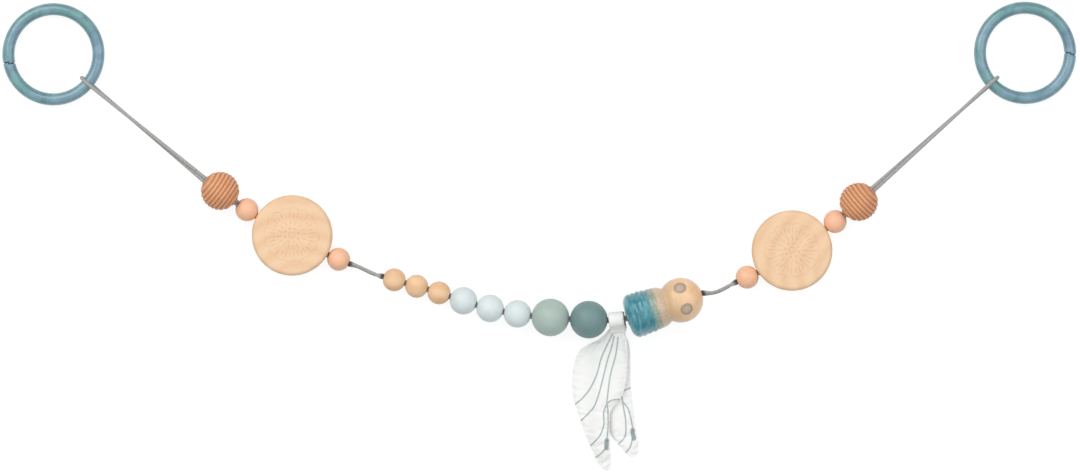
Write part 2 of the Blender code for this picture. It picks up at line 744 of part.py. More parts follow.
def gusset_sections(height):
    """Rings of the gusset, from inside the pinch down to the crease where the wings fold."""
    wing_top = FRONT_WING_LIFT + WING_THICKNESS
    middle = wing_top + WING_HEM_THICKNESS
    start = height - GUSSET_START_DROP
    half_tab = TAB_WIDTH / 2 - WING_CLEARANCE
    left = GUSSET_MIDDLE_LEFT_SHARE * FRONT_WING_WIDTH
    right = GUSSET_MIDDLE_RIGHT_SHARE * FRONT_WING_WIDTH
    end_left = GUSSET_END_LEFT_SHARE * FRONT_WING_WIDTH
    end_right = GUSSET_END_RIGHT_SHARE * FRONT_WING_WIDTH
    middle_reach = (GUSSET_START_REACH + GUSSET_END_REACH) / 2
    pinched = TAB_PINCH_THICKNESS * GUSSET_START_SHARE / 2
    rows = (
        (GUSSET_START_REACH, -half_tab, half_tab, start - pinched, start + pinched),
        (middle_reach, left, right, middle - WING_THICKNESS, middle + WING_HEM_THICKNESS),
        (GUSSET_END_REACH, end_left, end_right, WING_CLEARANCE, wing_top),
    )
    sections = []
    for reach, x_left, x_right, low, high in rows:
        sections.append([
            Vector((x_left, -reach, low - height)), Vector((x_right, -reach, low - height)),
            Vector((x_right, -reach, high - height)), Vector((x_left, -reach, high - height)),
        ])
    return sections


def add_tab(frame):
    """The cloth loop round the elastic and the gusset that joins it to both wings."""
    tab = add_object("wing_tab", prism(tab_outline(), TAB_WIDTH), frame.matrix, "wing_cotton")
    place = Matrix.Translation(frame.centre)
    gusset = add_cutter("wing_tab_gusset", loft(gusset_sections(frame.centre.z)), place)
    add_boolean(tab, gusset, "UNION")
    hole = prism(arc_ring(TAB_HOLE_RADIUS, BEAD_SIDES), TAB_WIDTH + 2 * CUTTER_OVERRUN)
    cutter = add_cutter("wing_tab_hole", hole, frame.matrix)
    add_boolean(tab, cutter, "DIFFERENCE")
    hang_on(gusset, tab)
    hang_on(cutter, tab)
    return tab


def smooth_step(value):
    value = min(max(value, 0), 1)
    return value * value * (3 - 2 * value)


def add_wing(name, frame, length, width, outline, lift):
    """A padded wing: flat below where it rests, crowned above, thin at its hem."""
    start = Vector((frame.centre.x, frame.centre.y - CREASE_REACH, 0))
    sections = []
    droop_run = 1 - FRONT_WING_DROOP_START_SHARE
    for share, left, right in outline:
        held = 1 - smooth_step((share - FRONT_WING_DROOP_START_SHARE) / droop_run)
        tip = min(1, (1 - share) / WING_TIP_RUN_SHARE + WING_TIP_CROWN_SHARE)
        lower, upper = [], []
        for column in range(WING_COLUMNS + 1):
            across = column / WING_COLUMNS
            x = width * (left + (right - left) * across)
            step_run = FRONT_WING_STEP_END_SHARE - FRONT_WING_STEP_START_SHARE
            climb = smooth_step((x / width - FRONT_WING_STEP_START_SHARE) / step_run)
            crown = sqrt(1 - (2 * across - 1) ** WING_CROWN_POWER) * tip
            thickness = WING_HEM_THICKNESS + (WING_THICKNESS - WING_HEM_THICKNESS) * crown
            base = lift * climb * held
            lower.append(Vector((x, -length * share, base)))
            upper.append(Vector((x, -length * share, base + thickness)))
        sections.append(lower + upper[::-1])
    return add_object(name, loft(sections), Matrix.Translation(start), "wing_cotton")


def add_elastic(frames, left_hitch, right_hitch):
    """Every length of elastic, each with its origin on the bending point nearer the tab."""
    by_name = {frame.piece.name: frame for frame in frames}
    order = [frame.piece.name for frame in frames]
    tab_index = order.index("wing_tab")
    cords = {}
    for name, pieces in CORD_LINKS:
        held = [by_name[piece] for piece in pieces]
        toward_tab = order.index(pieces[0]) < tab_index
        hinge = held[-1].end if toward_tab else held[0].start
        hinge = held[0].centre if name == "tab_cord" else hinge
        cord = doubled_cord(name, link_stations(held), hinge)
        for piece in pieces:
            cords[piece] = cord
    for name in ("left_stretch", "right_stretch"):
        index = order.index(name)
        frame = frames[index]
        stations = stretch_stations(frame, frames[index - 1], frames[index + 1])
        hinge = frame.end if index < tab_index else frame.start
        cords[name] = doubled_cord(f"{name}_cord", stations, hinge)
    left_out = plan_direction(LEFT_LEAD_HEADING)
    right_out = -plan_direction(RIGHT_LEAD_HEADING)
    cords["left_ring"] = add_lead("left_lead_cord", left_hitch, left_out, frames[0].start)
    cords["right_ring"] = add_lead("right_lead_cord", right_hitch, right_out, frames[-1].end)
    add_knot("elastic_knot", cords["dragonfly_figure"], by_name["dragonfly_figure"])
    return cords


def add_threaded(frames, cords):
    """Beads, discs, figure and tab, each carried by its length of elastic."""
    makers = {"disc": add_disc, "tab": add_tab}
    made = {}
    for frame in frames:
        if frame.piece.form == "stretch":
            continue
        obj = makers.get(frame.piece.form, add_bead)(frame)
        hang_on(obj, cords[frame.piece.name])
        made[frame.piece.name] = obj
    return made


def main():
    for obj in list(bpy.data.objects):
        bpy.data.objects.remove(obj, do_unlink=True)
    frames, left_hitch, right_hitch = lay_out()
    cords = add_elastic(frames, left_hitch, right_hitch)
    made = add_threaded(frames, cords)
    tab_frame = next(frame for frame in frames if frame.piece.form == "tab")
    wings = (
        ("back_wing", BACK_WING_LENGTH, BACK_WING_WIDTH, BACK_WING_OUTLINE_SHARES, 0),
        ("front_wing", FRONT_WING_LENGTH, FRONT_WING_WIDTH, FRONT_WING_OUTLINE_SHARES,
         FRONT_WING_LIFT),
    )
    for name, length, width, outline, lift in wings:
        wing = add_wing(name, tab_frame, length, width, outline, lift)
        hang_on(wing, made["wing_tab"])
    sides = (
        ("left_ring", left_hitch, plan_direction(LEFT_LEAD_HEADING), LEFT_SEAM_ANGLE),
        ("right_ring", right_hitch, -plan_direction(RIGHT_LEAD_HEADING), RIGHT_SEAM_ANGLE),
    )
    for name, hitch, outward, seam_angle in sides:
        ring = add_ring(name, ring_matrix(hitch, outward), seam_angle)
        hang_on(ring, cords[name])


main()
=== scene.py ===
"""Looks of the pram chain toy: turned beads, engraved discs, snap rings, elastic and cotton wings."""

import json
from math import acos, asin, atan2, cos, exp, hypot, pi, radians, sin, sqrt

import bmesh
import bpy
import numpy as np
from mathutils import Matrix, Vector, noise

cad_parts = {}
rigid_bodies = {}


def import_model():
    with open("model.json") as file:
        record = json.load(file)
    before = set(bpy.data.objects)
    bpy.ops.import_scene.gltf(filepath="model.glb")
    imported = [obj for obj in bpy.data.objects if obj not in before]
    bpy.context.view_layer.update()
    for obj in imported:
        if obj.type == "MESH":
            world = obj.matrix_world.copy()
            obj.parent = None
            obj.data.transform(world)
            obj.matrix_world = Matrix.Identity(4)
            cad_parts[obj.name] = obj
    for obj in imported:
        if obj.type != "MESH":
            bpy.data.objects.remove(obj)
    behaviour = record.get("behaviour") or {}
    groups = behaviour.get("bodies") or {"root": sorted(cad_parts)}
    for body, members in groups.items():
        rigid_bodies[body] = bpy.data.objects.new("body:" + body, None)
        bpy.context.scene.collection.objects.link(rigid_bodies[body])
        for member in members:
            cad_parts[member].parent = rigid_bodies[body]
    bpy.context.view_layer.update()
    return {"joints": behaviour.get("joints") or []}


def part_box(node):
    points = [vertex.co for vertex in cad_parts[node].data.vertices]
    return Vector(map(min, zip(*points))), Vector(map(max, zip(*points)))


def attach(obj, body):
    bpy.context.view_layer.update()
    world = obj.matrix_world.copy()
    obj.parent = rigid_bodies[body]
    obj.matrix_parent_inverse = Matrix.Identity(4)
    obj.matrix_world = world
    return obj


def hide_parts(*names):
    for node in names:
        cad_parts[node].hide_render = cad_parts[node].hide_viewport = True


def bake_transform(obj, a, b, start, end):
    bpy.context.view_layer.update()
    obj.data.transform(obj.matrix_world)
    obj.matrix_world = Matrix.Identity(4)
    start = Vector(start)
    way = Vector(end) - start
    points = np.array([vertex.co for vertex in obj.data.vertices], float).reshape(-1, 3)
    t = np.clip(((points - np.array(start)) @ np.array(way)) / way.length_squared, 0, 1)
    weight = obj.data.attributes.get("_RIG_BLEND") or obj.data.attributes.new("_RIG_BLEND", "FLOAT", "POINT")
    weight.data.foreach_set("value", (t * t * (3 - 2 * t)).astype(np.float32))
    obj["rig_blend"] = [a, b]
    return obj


MM = 0.001
UP = Vector((0, 0, 1))

# The photograph's scale, and the point of the row frame at its middle, in millimetres
PHOTO_WIDTH_PX = 1080
PHOTO_MM_PER_PX = 0.53
PHOTO_MIDDLE = (0.4, 0.02)
CAMERA_HEIGHT = 4000
FOCUS_HEIGHT = 8
FLOOR_REACH = 3.0
FLOOR_LEVEL = -0.0002

# Turned pieces, in millimetres
BORE_RADIUS = 2.2
MOUTH_EASE = 0.35
SMALL_BEAD_RADIUS = 6.1
PALE_BEAD_RADIUS = 7.3
LARGE_BEAD_RADIUS = 10.0
GROOVED_BEAD_RADIUS = 10.2
GROOVE_COUNT = 9
GROOVE_DEPTH = 0.5
DISC_RADIUS = 21.3
DISC_HALF_THICKNESS = 6.0
DISC_EASE = 2.2
ENGRAVING_RADIUS = 15.8
ENGRAVING_DEPTH = 0.2
INNER_CIRCLE = 1.6
DOT_CIRCLE = 3.7
DOT_RADIUS = 0.42
DOT_COUNT = 8
# Engraved rays: count, turn, start, the two ends that take turns, and half width
RAYS = ((16, 0.5, 5.3, (8.0, 8.0), 0.24), (32, 0.0, 9.3, (11.4, 12.6), 0.25))
SCALLOP_CIRCLE = 13.5
SCALLOP_DEPTH = 1.1
SCALLOP_COUNT = 16

# Snap rings, in millimetres
RING_RADIUS = 23.95
RING_BAR_RADIUS = 3.2
SEAM_WIDTH = 0.8
SEAM_STEP = 0.9
SEAM_DEPTH = 0.5
SEAM_REACH = 4.5
# How far the painted shade along the bar's outer and inner rims reaches
RIM_SHADE_REACH = 1.4
PARTING_RISE = 0.012
SEAM_ANGLES = {"left_ring": -129, "right_ring": 137}

# Elastic, in millimetres
STRAND_RADIUS = 0.825
LEAD_STRAND_RADIUS = 0.92
HITCH_CLEARANCE = 0.3
LEG_SPREAD = 0.94
CROSSING_OFFSET = 0.42
BEND_REACH = 1.1
STRETCH_PULL = 0.42
MOUTH_ROLL = 0.6
STRETCH_ROLL = 1.28
ROLL_SHARE = 0.22
# How far past a bead's mouth the painted shade on the elastic reaches
MOUTH_SHADE_REACH = 2.0
BRAID_COUNT = 6
# How far the two pulls of each stretch lie above its line, in millimetres
STRETCH_LIFTS = {"left_stretch": (1.6, -0.8), "right_stretch": (-3.5, -0.5)}

# The turned insect, in millimetres from its back end
FIGURE_HALF_LENGTH = 21.05
HEAD_CENTRE = 30.2
HEAD_RADIUS = 11.9
NECK_RADIUS = 9.1
HEAD_MOUTH_RADIUS = 2.45
POCKET_RADIUS = 4.4
POCKET_DEPTH = 9.0
EYE_RADIUS = 3.5
EYE_RECESS = 0.22
EYE_PLACES = ((1.5, 6.7), (1.3, -5.7))
RIB_DEPTH = 0.44
RIB_PITCH = 2.95
LUMP_DEPTH = 0.36
MARK_DEPTH = 0.12
MARK_PITCH = 2.1
# Where blue gives way to olive, olive to beige and beige to bare wood
BAND_EDGES = ((12.8, 15.2), (16.4, 18.0), (21.4, 22.6))

# Cotton tab round the elastic, in millimetres and degrees
TAB_SIDES = (-4.2, 3.95)
TAB_FLARES = (-0.7, 0.45)
TAB_FLARE_REACH = (2.0, 6.4)
TAB_SHEET = 0.68
TAB_PINCH = radians(-156)
TAB_SHOULDER_ANGLE = 55
TAB_HALF_WIDTH = 4.1
# Side-view ways along the pinch and square to it
PINCH_ALONG = np.array((cos(TAB_PINCH), sin(TAB_PINCH)))
PINCH_SQUARE = np.array((-sin(TAB_PINCH), cos(TAB_PINCH)))
# The tab's layers: name, radius round the elastic, upper and lower leg, ripple, node replaced
TAB_LAYERS = (
    ("tab_look", 3.7, ((7.0, 0.62), (5.4, 0.8)), ((6.6, 2.0), (5.3, 1.55)), 1.3, "wing_tab"),
    ("tab_lining", 2.92, ((4.9, 0.25), (4.3, 0.3)), ((4.9, 1.0), (4.3, 0.9)), 4.1),
)
STITCH_COUNT = 6
STITCH_PITCH = 1.25
STITCH_LENGTH = 0.75
STITCH_LINE = 6.35
STITCH_START = -3.35
STITCH_OFFSET = 0.61
STITCH_RISE = 0.16

# Wings: heights, pleats, puckers and folds, in millimetres
WING_SEAM_HEIGHT = 0.9
WING_TOP_RISE = 1.8
WING_SWELL_CAP = 3.2
PLEAT_DEPTH = 0.42
PLEAT_REACH = 24
PUCKER_DEPTH = 0.13
FOLD_DEPTH = 0.22
# Where the front wing climbs over the back one and droops again
CLIMB_START = -16.8
CLIMB_WIDTH = 8.3
OVERLAP_HEIGHT = 3.1
DROOP_START = 62.7
DROOP_LENGTH = 18
CLOTH_SCALE = 40.0
CLOTH_SETTINGS = {
    "quality": 7, "mass": 0.25, "tension_stiffness": 25, "compression_stiffness": 18,
    "shear_stiffness": 10, "bending_stiffness": 0.35, "air_damping": 2, "use_pressure": True,
    "uniform_pressure_force": 2.6, "shrink_min": -0.045, "vertex_group_mass": "sewn",
}
CLOTH_FRAMES = 20

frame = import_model()
JOINTS = {joint["child"]: joint for joint in frame["joints"]}

# Half length along the elastic of each kind of threaded piece, in millimetres
HALF_LENGTHS = {
    "grooved": GROOVED_BEAD_RADIUS, "peach": SMALL_BEAD_RADIUS, "disc": DISC_RADIUS,
    "natural": SMALL_BEAD_RADIUS, "pale": PALE_BEAD_RADIUS, "sage": LARGE_BEAD_RADIUS,
    "teal": LARGE_BEAD_RADIUS, "wings": TAB_HALF_WIDTH, "figure": FIGURE_HALF_LENGTH,
}
# The threaded pieces from left to right, and the bare stretches by the piece before each
THREAD = (
    "left_grooved_bead", "left_outer_peach_bead", "left_disc", "left_inner_peach_bead",
    "natural_bead_1", "natural_bead_2", "natural_bead_3", "pale_bead_1", "pale_bead_2", "pale_bead_3",
    "sage_bead", "teal_bead", "wings", "dragonfly_figure", "right_inner_peach_bead", "right_disc",
    "right_outer_peach_bead", "right_grooved_bead",
)
STRETCHES = {"left_inner_peach_bead": "left_stretch", "dragonfly_figure": "right_stretch"}


# Colours as they are seen, in sRGB from 0 to 255
def linear(value):
    return value / 12.92 if value <= 0.04045 else ((value + 0.055) / 1.055) ** 2.4


def rgb(red, green, blue):
    """An sRGB colour of 0 to 255 as a linear one."""
    return (*(linear(value / 255) for value in (red, green, blue)), 1)


def shade(colour, factor):
    """A lighter or darker colour."""
    return (*(value * factor for value in colour[:3]), 1)


PEACH = rgb(254, 197, 159)
PALE_BLUE = rgb(225, 235, 235)
SAGE = rgb(177, 196, 187)
TEAL = rgb(119, 148, 148)
COTTON = rgb(253, 253, 250)
TAPE = rgb(251, 251, 247)
VEIN = rgb(156, 170, 173)
SPOT = rgb(144, 160, 163)
BEAD_WOOD = (rgb(250, 213, 172), rgb(245, 202, 158), rgb(232, 180, 130))
DISC_WOOD = (rgb(249, 214, 177), rgb(244, 205, 165), rgb(234, 190, 146))
SKY = (0.96, 0.98, 1.0, 1)


# Places on the frame
def place_of(body):
    """Centre of a threaded body and the way its bore runs, from left to right."""
    joint = JOINTS[body]
    axis = Vector(joint["axis"]).normalized()
    if body == "wings":
        axis = -axis
    return Vector(joint["pos_m"]), axis


def axes_at(body, back=0.0):
    """Axes in a threaded body, moved back by millimetres: X along its bore, Y level, Z upwards."""
    point, along = place_of(body)
    left = UP.cross(along).normalized()
    axes = Matrix((along, left, along.cross(left))).transposed().to_4x4()
    return Matrix.Translation(point - along * back * MM) @ axes


def hinge_of(body):
    return Vector(JOINTS[body]["pos_m"])


def cord_of(piece):
    """The length of elastic that a threaded piece turns on."""
    return JOINTS[piece]["parent"]


def half_length(piece):
    return next(length for kind, length in HALF_LENGTHS.items() if kind in piece) * MM


def bore_of(piece):
    """A threaded piece's middle, the way its bore runs and half its length."""
    return (*place_of(piece), half_length(piece))


def set_down(obj, place, heading=None):
    """Puts a mesh in its place. The tilt goes into the mesh, so that its box stays level."""
    if heading is None:
        heading = atan2(place.col[0].y, place.col[0].x)
    level = Matrix.Translation(place.translation) @ Matrix.Rotation(heading, 4, "Z")
    obj.data.transform(level.inverted() @ place)
    obj.matrix_world = level


def label_piece(obj, slot, *nodes):
    if nodes:
        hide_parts(*nodes)
    return obj


def finish_piece(obj, body, slot, *nodes):
    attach(obj, body)
    return label_piece(obj, slot, *nodes)


def thread_on(obj, body, slot, back=0.0):
    """Puts a piece on its own bore, in place of its solid."""
    set_down(obj, axes_at(body, back))
    return finish_piece(obj, body, slot, body)


# Shares from 0 to 1
def clamped(t):
    return min(max(t, 0.0), 1.0)


def evenly(steps):
    """Even steps from 0 to 1."""
    return [step / steps for step in range(steps + 1)]


def mixed(a, b, share):
    return a + (b - a) * share


def wave(turns):
    """From 0 up to 1 and back once a turn."""
    return 0.5 - 0.5 * cos(2 * pi * turns)


def within(x, start, rise, end, fall):
    """1 between two places, fading to 0 towards them."""
    return clamped((x - start) / rise) * clamped((end - x) / fall)


def smooth_step(t):
    t = clamped(t)
    return t * t * (3 - 2 * t)


def eased(p, start, q, end, t):
    """The point at share t of a smooth curve from p to q, with the given ways at its two ends."""
    return (p * (2 * t**3 - 3 * t**2 + 1) + start * (t**3 - 2 * t**2 + t)
            + q * (3 * t**2 - 2 * t**3) + end * (t**3 - t**2))


# Meshes
def turn_outward(mesh):
    """Gives the faces of one closed body one sense, and that sense outward, by the body's volume."""
    bm = bmesh.new()
    bm.from_mesh(mesh)
    bmesh.ops.recalc_face_normals(bm, faces=bm.faces)
    if bm.calc_volume(signed=True) < 0:
        bmesh.ops.reverse_faces(bm, faces=bm.faces)
    bm.to_mesh(mesh)
    bm.free()


def linked(name, data):
    """A new object in the scene."""
    obj = bpy.data.objects.new(name, data)
    bpy.context.scene.collection.objects.link(obj)
    return obj


def new_object(name, verts, faces, material=None, smooth=True, uvs=None):
    mesh = bpy.data.meshes.new(name)
    mesh.from_pydata([tuple(v) for v in verts], [], faces)
    if uvs:
        mesh.uv_layers.new(name="run").data.foreach_set("uv", np.array(uvs, np.float32).ravel())
    turn_outward(mesh)
    if smooth:
        mesh.shade_smooth()
    if material:
        mesh.materials.append(material)
    return linked(name, mesh)


def circle(sides):
    """Cosine and sine of evenly spaced turns."""
    return [(cos(2 * pi * t), sin(2 * pi * t)) for t in evenly(sides)[:-1]]


def ring_faces(rings):
    """Faces between rings of point numbers, from the last back to the first; a pole has one point."""
    faces = []
    for a, b in zip(rings, rings[1:] + rings[:1]):
        sides = max(len(a), len(b))
        for side in range(sides if sides > 1 else 0):
            i, j = side, side + 1
            corners = (a[i % len(a)], b[i % len(b)], b[j % len(b)], a[j % len(a)])
            faces.append(tuple(dict.fromkeys(corners)))
    return faces


def lathe(name, profile, sides, material=None, upright=False):
    """A closed (along, radius) profile in millimetres turned about X, or Z if upright."""
    verts, rings = [], []
    for along, radius in profile:
        turns = circle(sides) if radius else [(1, 0)]
        rings.append(range(len(verts), len(verts) + len(turns)))
        for x, y in turns:
            level = (radius * MM * x, radius * MM * y)
            verts.append((*level, along * MM) if upright else (along * MM, *level))
    return new_object(name, verts, ring_faces(rings), material)


def prism(name, outline, half_height):
    """An upright prism over a flat outline in millimetres, centred on the level plane."""
    count = len(outline)
    verts = [(x * MM, y * MM, z * half_height * MM) for z in (-1, 1) for x, y in outline]
    faces = [tuple(range(count)), tuple(range(count, 2 * count))[::-1]]
    faces += [(i, (i + 1) % count, count + (i + 1) % count, count + i) for i in range(count)]
    return new_object(name, verts, faces, None, False)


def flattened(obj):
    """The object's mesh with its modifiers applied."""
    bpy.context.view_layer.update()
    graph = bpy.context.evaluated_depsgraph_get()
    mesh = bpy.data.meshes.new_from_object(obj.evaluated_get(graph))
    obj.modifiers.clear()
    obj.data = mesh
    return mesh


def subdivided(obj, levels):
    """The object's mesh, subdivided and smooth."""
    modifier = obj.modifiers.new("smooth", "SUBSURF")
    modifier.levels = modifier.render_levels = levels
    flattened(obj).shade_smooth()
    return obj.data


def cut(obj, cutter, sharp_angle=40):
    """Cuts one closed mesh out of another."""
    modifier = obj.modifiers.new("cut", "BOOLEAN")
    modifier.operation = "DIFFERENCE"
    modifier.solver = "MANIFOLD"
    modifier.object = cutter
    mesh = flattened(obj)
    bpy.data.objects.remove(cutter)
    mesh.shade_smooth()
    mesh.set_sharp_from_angle(angle=radians(sharp_angle))
    return obj


def read_values(items, key, width=1):
    """One property of every item, in rows if it has several parts."""
    values = np.zeros(len(items) * width)
    items.foreach_get(key, values)
    return values.reshape(-1, width) if width > 1 else values


def mesh_points(mesh):
    return read_values(mesh.vertices, "co", 3)


def set_point_values(obj, name, values):
    attribute = obj.data.attributes.new(name, "FLOAT", "POINT")
    attribute.data.foreach_set("value", np.asarray(values, np.float32))


def lay_flat(obj, points):
    """A UV map in metres from the cloth's flat points in millimetres."""
    corners = read_values(obj.data.loops, "vertex_index").astype(int)
    flat = (np.asarray(points)[corners] * MM).astype(np.float32).ravel()
    obj.data.uv_layers.new(name="flat").data.foreach_set("uv", flat)


# Materials
class Nodes:
    """A node tree, with short calls for the nodes used here."""

    def __init__(self, owner, clear=False):
        """For a world or a material, or for a new material of the given name."""
        if isinstance(owner, str):
            owner = bpy.data.materials.new(owner)
        owner.use_nodes = True
        self.owner, self.tree = owner, owner.node_tree
        if clear:
            self.tree.nodes.clear()
        self.coords = self.tree.nodes.new("ShaderNodeTexCoord").outputs

    def put(self, kind, sockets, out=0, **options):
        """Adds a node, feeds its sockets by place or name and returns one of its outputs."""
        node = self.tree.nodes.new("ShaderNode" + kind)
        for key, value in options.items():
            setattr(node, key, value)
        for key, value in sockets.items():
            self.feed(node.inputs[key], value)
        return node.outputs[out] if node.outputs else node

    def feed(self, socket, value):
        if isinstance(value, bpy.types.NodeSocket):
            self.tree.links.new(value, socket)
        else:
            socket.default_value = value

    def math(self, operation, a, b=0.0):
        return self.put("Math", {0: a, 1: b}, operation=operation)

    def mapped(self, scale=(1, 1, 1), turn=(0, 0, 0), move=(0, 0, 0), vector=None):
        vector = vector or self.coords["Object"]
        return self.put("Mapping", {"Vector": vector, "Scale": scale, "Rotation": turn, "Location": move})

    def noise(self, scale, detail=3.0, rough=0.5, distortion=0.0, vector=None):
        """Noise in the piece's own axes; three scales stretch it along them."""
        vector = vector or self.coords["Object"]
        if isinstance(scale, tuple):
            vector, scale = self.mapped(scale, vector=vector), 1.0
        return self.put("TexNoise", {"Vector": vector, "Scale": scale, "Detail": detail, "Roughness": rough,
                                     "Distortion": distortion}, "Fac")

    def ramp(self, value, *stops):
        colour = self.put("ValToRGB", {"Fac": value}, "Color")
        ramp = colour.node.color_ramp
        while len(ramp.elements) < len(stops):
            ramp.elements.new(0.5)
        for element, (place, shown) in zip(ramp.elements, stops):
            element.position = place
            element.color = shown
        return colour

    def mix(self, factor, a, b):
        return self.put("Mix", {0: factor, 6: a, 7: b}, 2, data_type="RGBA")

    def range(self, value, low, high, new_low=0.0, new_high=1.0):
        return self.put("MapRange", dict(enumerate((value, low, high, new_low, new_high))))

    def blend_of(self, a, share_a, b, share_b):
        return self.math("ADD", self.math("MULTIPLY", a, share_a), self.math("MULTIPLY", b, share_b))

    def bump(self, height, distance, strength=1.0, **normal):
        sockets = {"Strength": strength, "Distance": distance, "Height": height, **normal}
        return self.put("Bump", sockets, "Normal")

    def attribute(self, name):
        return self.put("Attribute", {}, "Fac", attribute_name=name)

    def finish(self, **sockets):
        """Feeds the shader's own sockets: Base_Color is the one named Base Color."""
        shader = self.tree.nodes["Principled BSDF"]
        for name, value in sockets.items():
            self.feed(shader.inputs[name.replace("_", " ")], value)
        return self.owner


def painted_wood(name, colour, seed):
    """Satin water paint on a turned bead: the grain shows faintly through it."""
    n = Nodes(name)
    moved = n.mapped(move=(seed * 0.37, seed * 0.61, seed * 0.13))
    fibres = n.noise((170, 1300, 1300), 3.0, 0.6, vector=moved)
    blotches = n.noise(170, 2.0, vector=moved)
    tone = n.blend_of(fibres, 0.45, blotches, 0.55)
    paint = n.ramp(tone, (0.3, shade(colour, 0.93)), (0.5, colour), (0.7, shade(colour, 1.04)))
    return n.finish(Base_Color=paint, Roughness=n.range(blotches, 0.3, 0.7, 0.4, 0.54),
                    Normal=n.bump(fibres, 0.00007, 0.5), Coat_Weight=0.12, Coat_Roughness=0.35)


def bare_wood(name, colours, seed, ring_spacing=1.1, turn=(0.12, 0.35, 0.0), groove_ink=None):
    """Clear-sealed beech: growth rings, fibres and fine pores. A groove_ink darkens the engraving."""
    n = Nodes(name)
    moved = n.mapped(turn=turn, move=(seed * 0.011, 0.013 + seed * 0.004, 0.021))
    waves = {"Vector": n.mapped((0.12, 1.0, 1.0), vector=moved), "Scale": 1 / (ring_spacing * MM * 20),
             "Distortion": 2.4, "Detail": 2.0, "Detail Scale": 0.6}
    rings = n.put("TexWave", waves, "Fac", wave_type="RINGS", rings_direction="X")
    fibres = n.noise((150, 2000, 2000), 4.0, 0.65, vector=moved)
    blotches = n.noise(120, 2.0, vector=moved)
    tone = n.blend_of(rings, 0.24, n.blend_of(fibres, 0.6, blotches, 0.4), 0.76)
    wood = n.ramp(tone, *zip((0.25, 0.5, 0.8), colours))
    if groove_ink:
        wood = n.mix(n.math("MULTIPLY", n.attribute("groove"), 0.3), wood, groove_ink)
    return n.finish(Base_Color=wood, Roughness=n.range(fibres, 0.3, 0.7, 0.46, 0.6),
                    Normal=n.bump(fibres, 0.00008, 0.5))


def grooved_wood(name):
    """Brown-stained wood whose turned grooves hold a darker stain."""
    n = Nodes(name)
    fibres = n.noise((200, 1500, 1500), 4.0, 0.6)
    blotches = n.noise(190, 2.0)
    tone = n.blend_of(fibres, 0.5, blotches, 0.5)
    crest = n.ramp(tone, (0.3, rgb(218, 153, 108)), (0.5, rgb(232, 169, 124)), (0.72, rgb(242, 185, 142)))
    depth = n.attribute("groove")
    return n.finish(Base_Color=n.mix(depth, crest, rgb(192, 122, 82)),
                    Roughness=n.range(depth, 0, 1, 0.48, 0.75), Normal=n.bump(fibres, 0.00008, 0.6))


def ring_plastic(name):
    """Moulded blue plastic with a pearly flow in it, with painted shade along the bar's rims, where the
    mould's parting line runs, and in the seam's slit.
    """
    n = Nodes(name)
    flow = n.noise(95, 2.0, 0.5, 1.2)
    tint = n.noise(62, 2.0, 0.45, 0.8, n.mapped(move=(0.4, 0.1, 0.2)))
    green = n.ramp(flow, (0.35, rgb(94, 144, 146)), (0.65, rgb(118, 167, 167)))
    blue = n.ramp(flow, (0.35, rgb(98, 137, 155)), (0.65, rgb(130, 164, 180)))
    pearl = n.mix(n.range(tint, 0.42, 0.58), green, blue)
    # Painted shade: darker along the bar's outer and inner rims, about the mould's parting line
    pearl = n.mix(n.math("MULTIPLY", n.attribute("rim_painted_shade"), 0.45), pearl, rgb(72, 112, 126))
    scratches = n.noise((700, 700, 700), 2.0)
    # Painted shade: the walls of the seam's slit are coloured near black
    return n.finish(Base_Color=n.mix(n.attribute("seam_slit_shade"), pearl, rgb(38, 74, 82)),
                    Roughness=n.range(scratches, 0.3, 0.75, 0.2, 0.28),
                    Normal=n.bump(scratches, 0.000008, 0.3), Coat_Weight=0.6, Coat_Roughness=0.1)


def braided_elastic(name):
    """Braided textile cover, from the strand's own turn (u) and run (v)."""
    n = Nodes(name)
    around, down = (n.math("MULTIPLY", n.put("SeparateXYZ", {0: n.coords["UV"]}, axis), 2 * pi * BRAID_COUNT)
                    for axis in (0, 1))
    ways = [n.math("SINE", n.math(operation, around, down)) for operation in ("ADD", "SUBTRACT")]
    braid = n.range(n.math("MAXIMUM", *ways), -0.6, 0.9)
    fuzz = n.noise(2600, 3.0, 0.7)
    tone = n.math("MULTIPLY", braid, n.range(fuzz, 0.25, 0.75, 0.86, 1.0))
    yarn = n.ramp(tone, (0.0, rgb(130, 129, 127)), (0.55, rgb(172, 171, 168)), (1.0, rgb(196, 195, 192)))
    normal = n.bump(n.blend_of(braid, 1.0, fuzz, 0.4), 0.00012, 0.8)
    # Painted shade: the elastic turns dark brown near the beads' mouths
    return n.finish(Base_Color=n.mix(n.attribute("mouth"), yarn, rgb(96, 82, 70)), Roughness=0.85,
                    Normal=normal, Sheen_Weight=0.25)


def cotton(name, colour, printed):
    """Fine white cotton, plainly woven; a printed one carries grey-blue lines and spots."""
    n = Nodes(name)
    soft = n.noise(240, 3.0, 0.6)
    cloth = n.ramp(soft, (0.3, shade(colour, 0.965)), (0.55, colour), (0.8, shade(colour, 1.01)))
    if printed:
        wear = n.range(n.noise(1100, 3.0, 0.6), 0.3, 0.62, 0.7, 1.0)
        for mark, ink in (("vein", VEIN), ("spot", SPOT)):
            cloth = n.mix(n.math("MULTIPLY", n.attribute(mark), wear), cloth, ink)
    weave = {"Vector": n.mapped(vector=n.coords["UV"]), "Scale": 650}
    threads = [n.put("TexWave", weave, "Fac", wave_type="BANDS", bands_direction=way) for way in ("X", "Y")]
    crinkle = n.bump(n.noise(420, 4.0, 0.62, 0.4), 0.0005, 0.35)
    return n.finish(Base_Color=cloth, Roughness=n.range(soft, 0.3, 0.8, 0.86, 0.94),
                    Normal=n.bump(n.math("MAXIMUM", *threads), 0.00006, 0.5, Normal=crinkle),
                    Sheen_Weight=0.15)


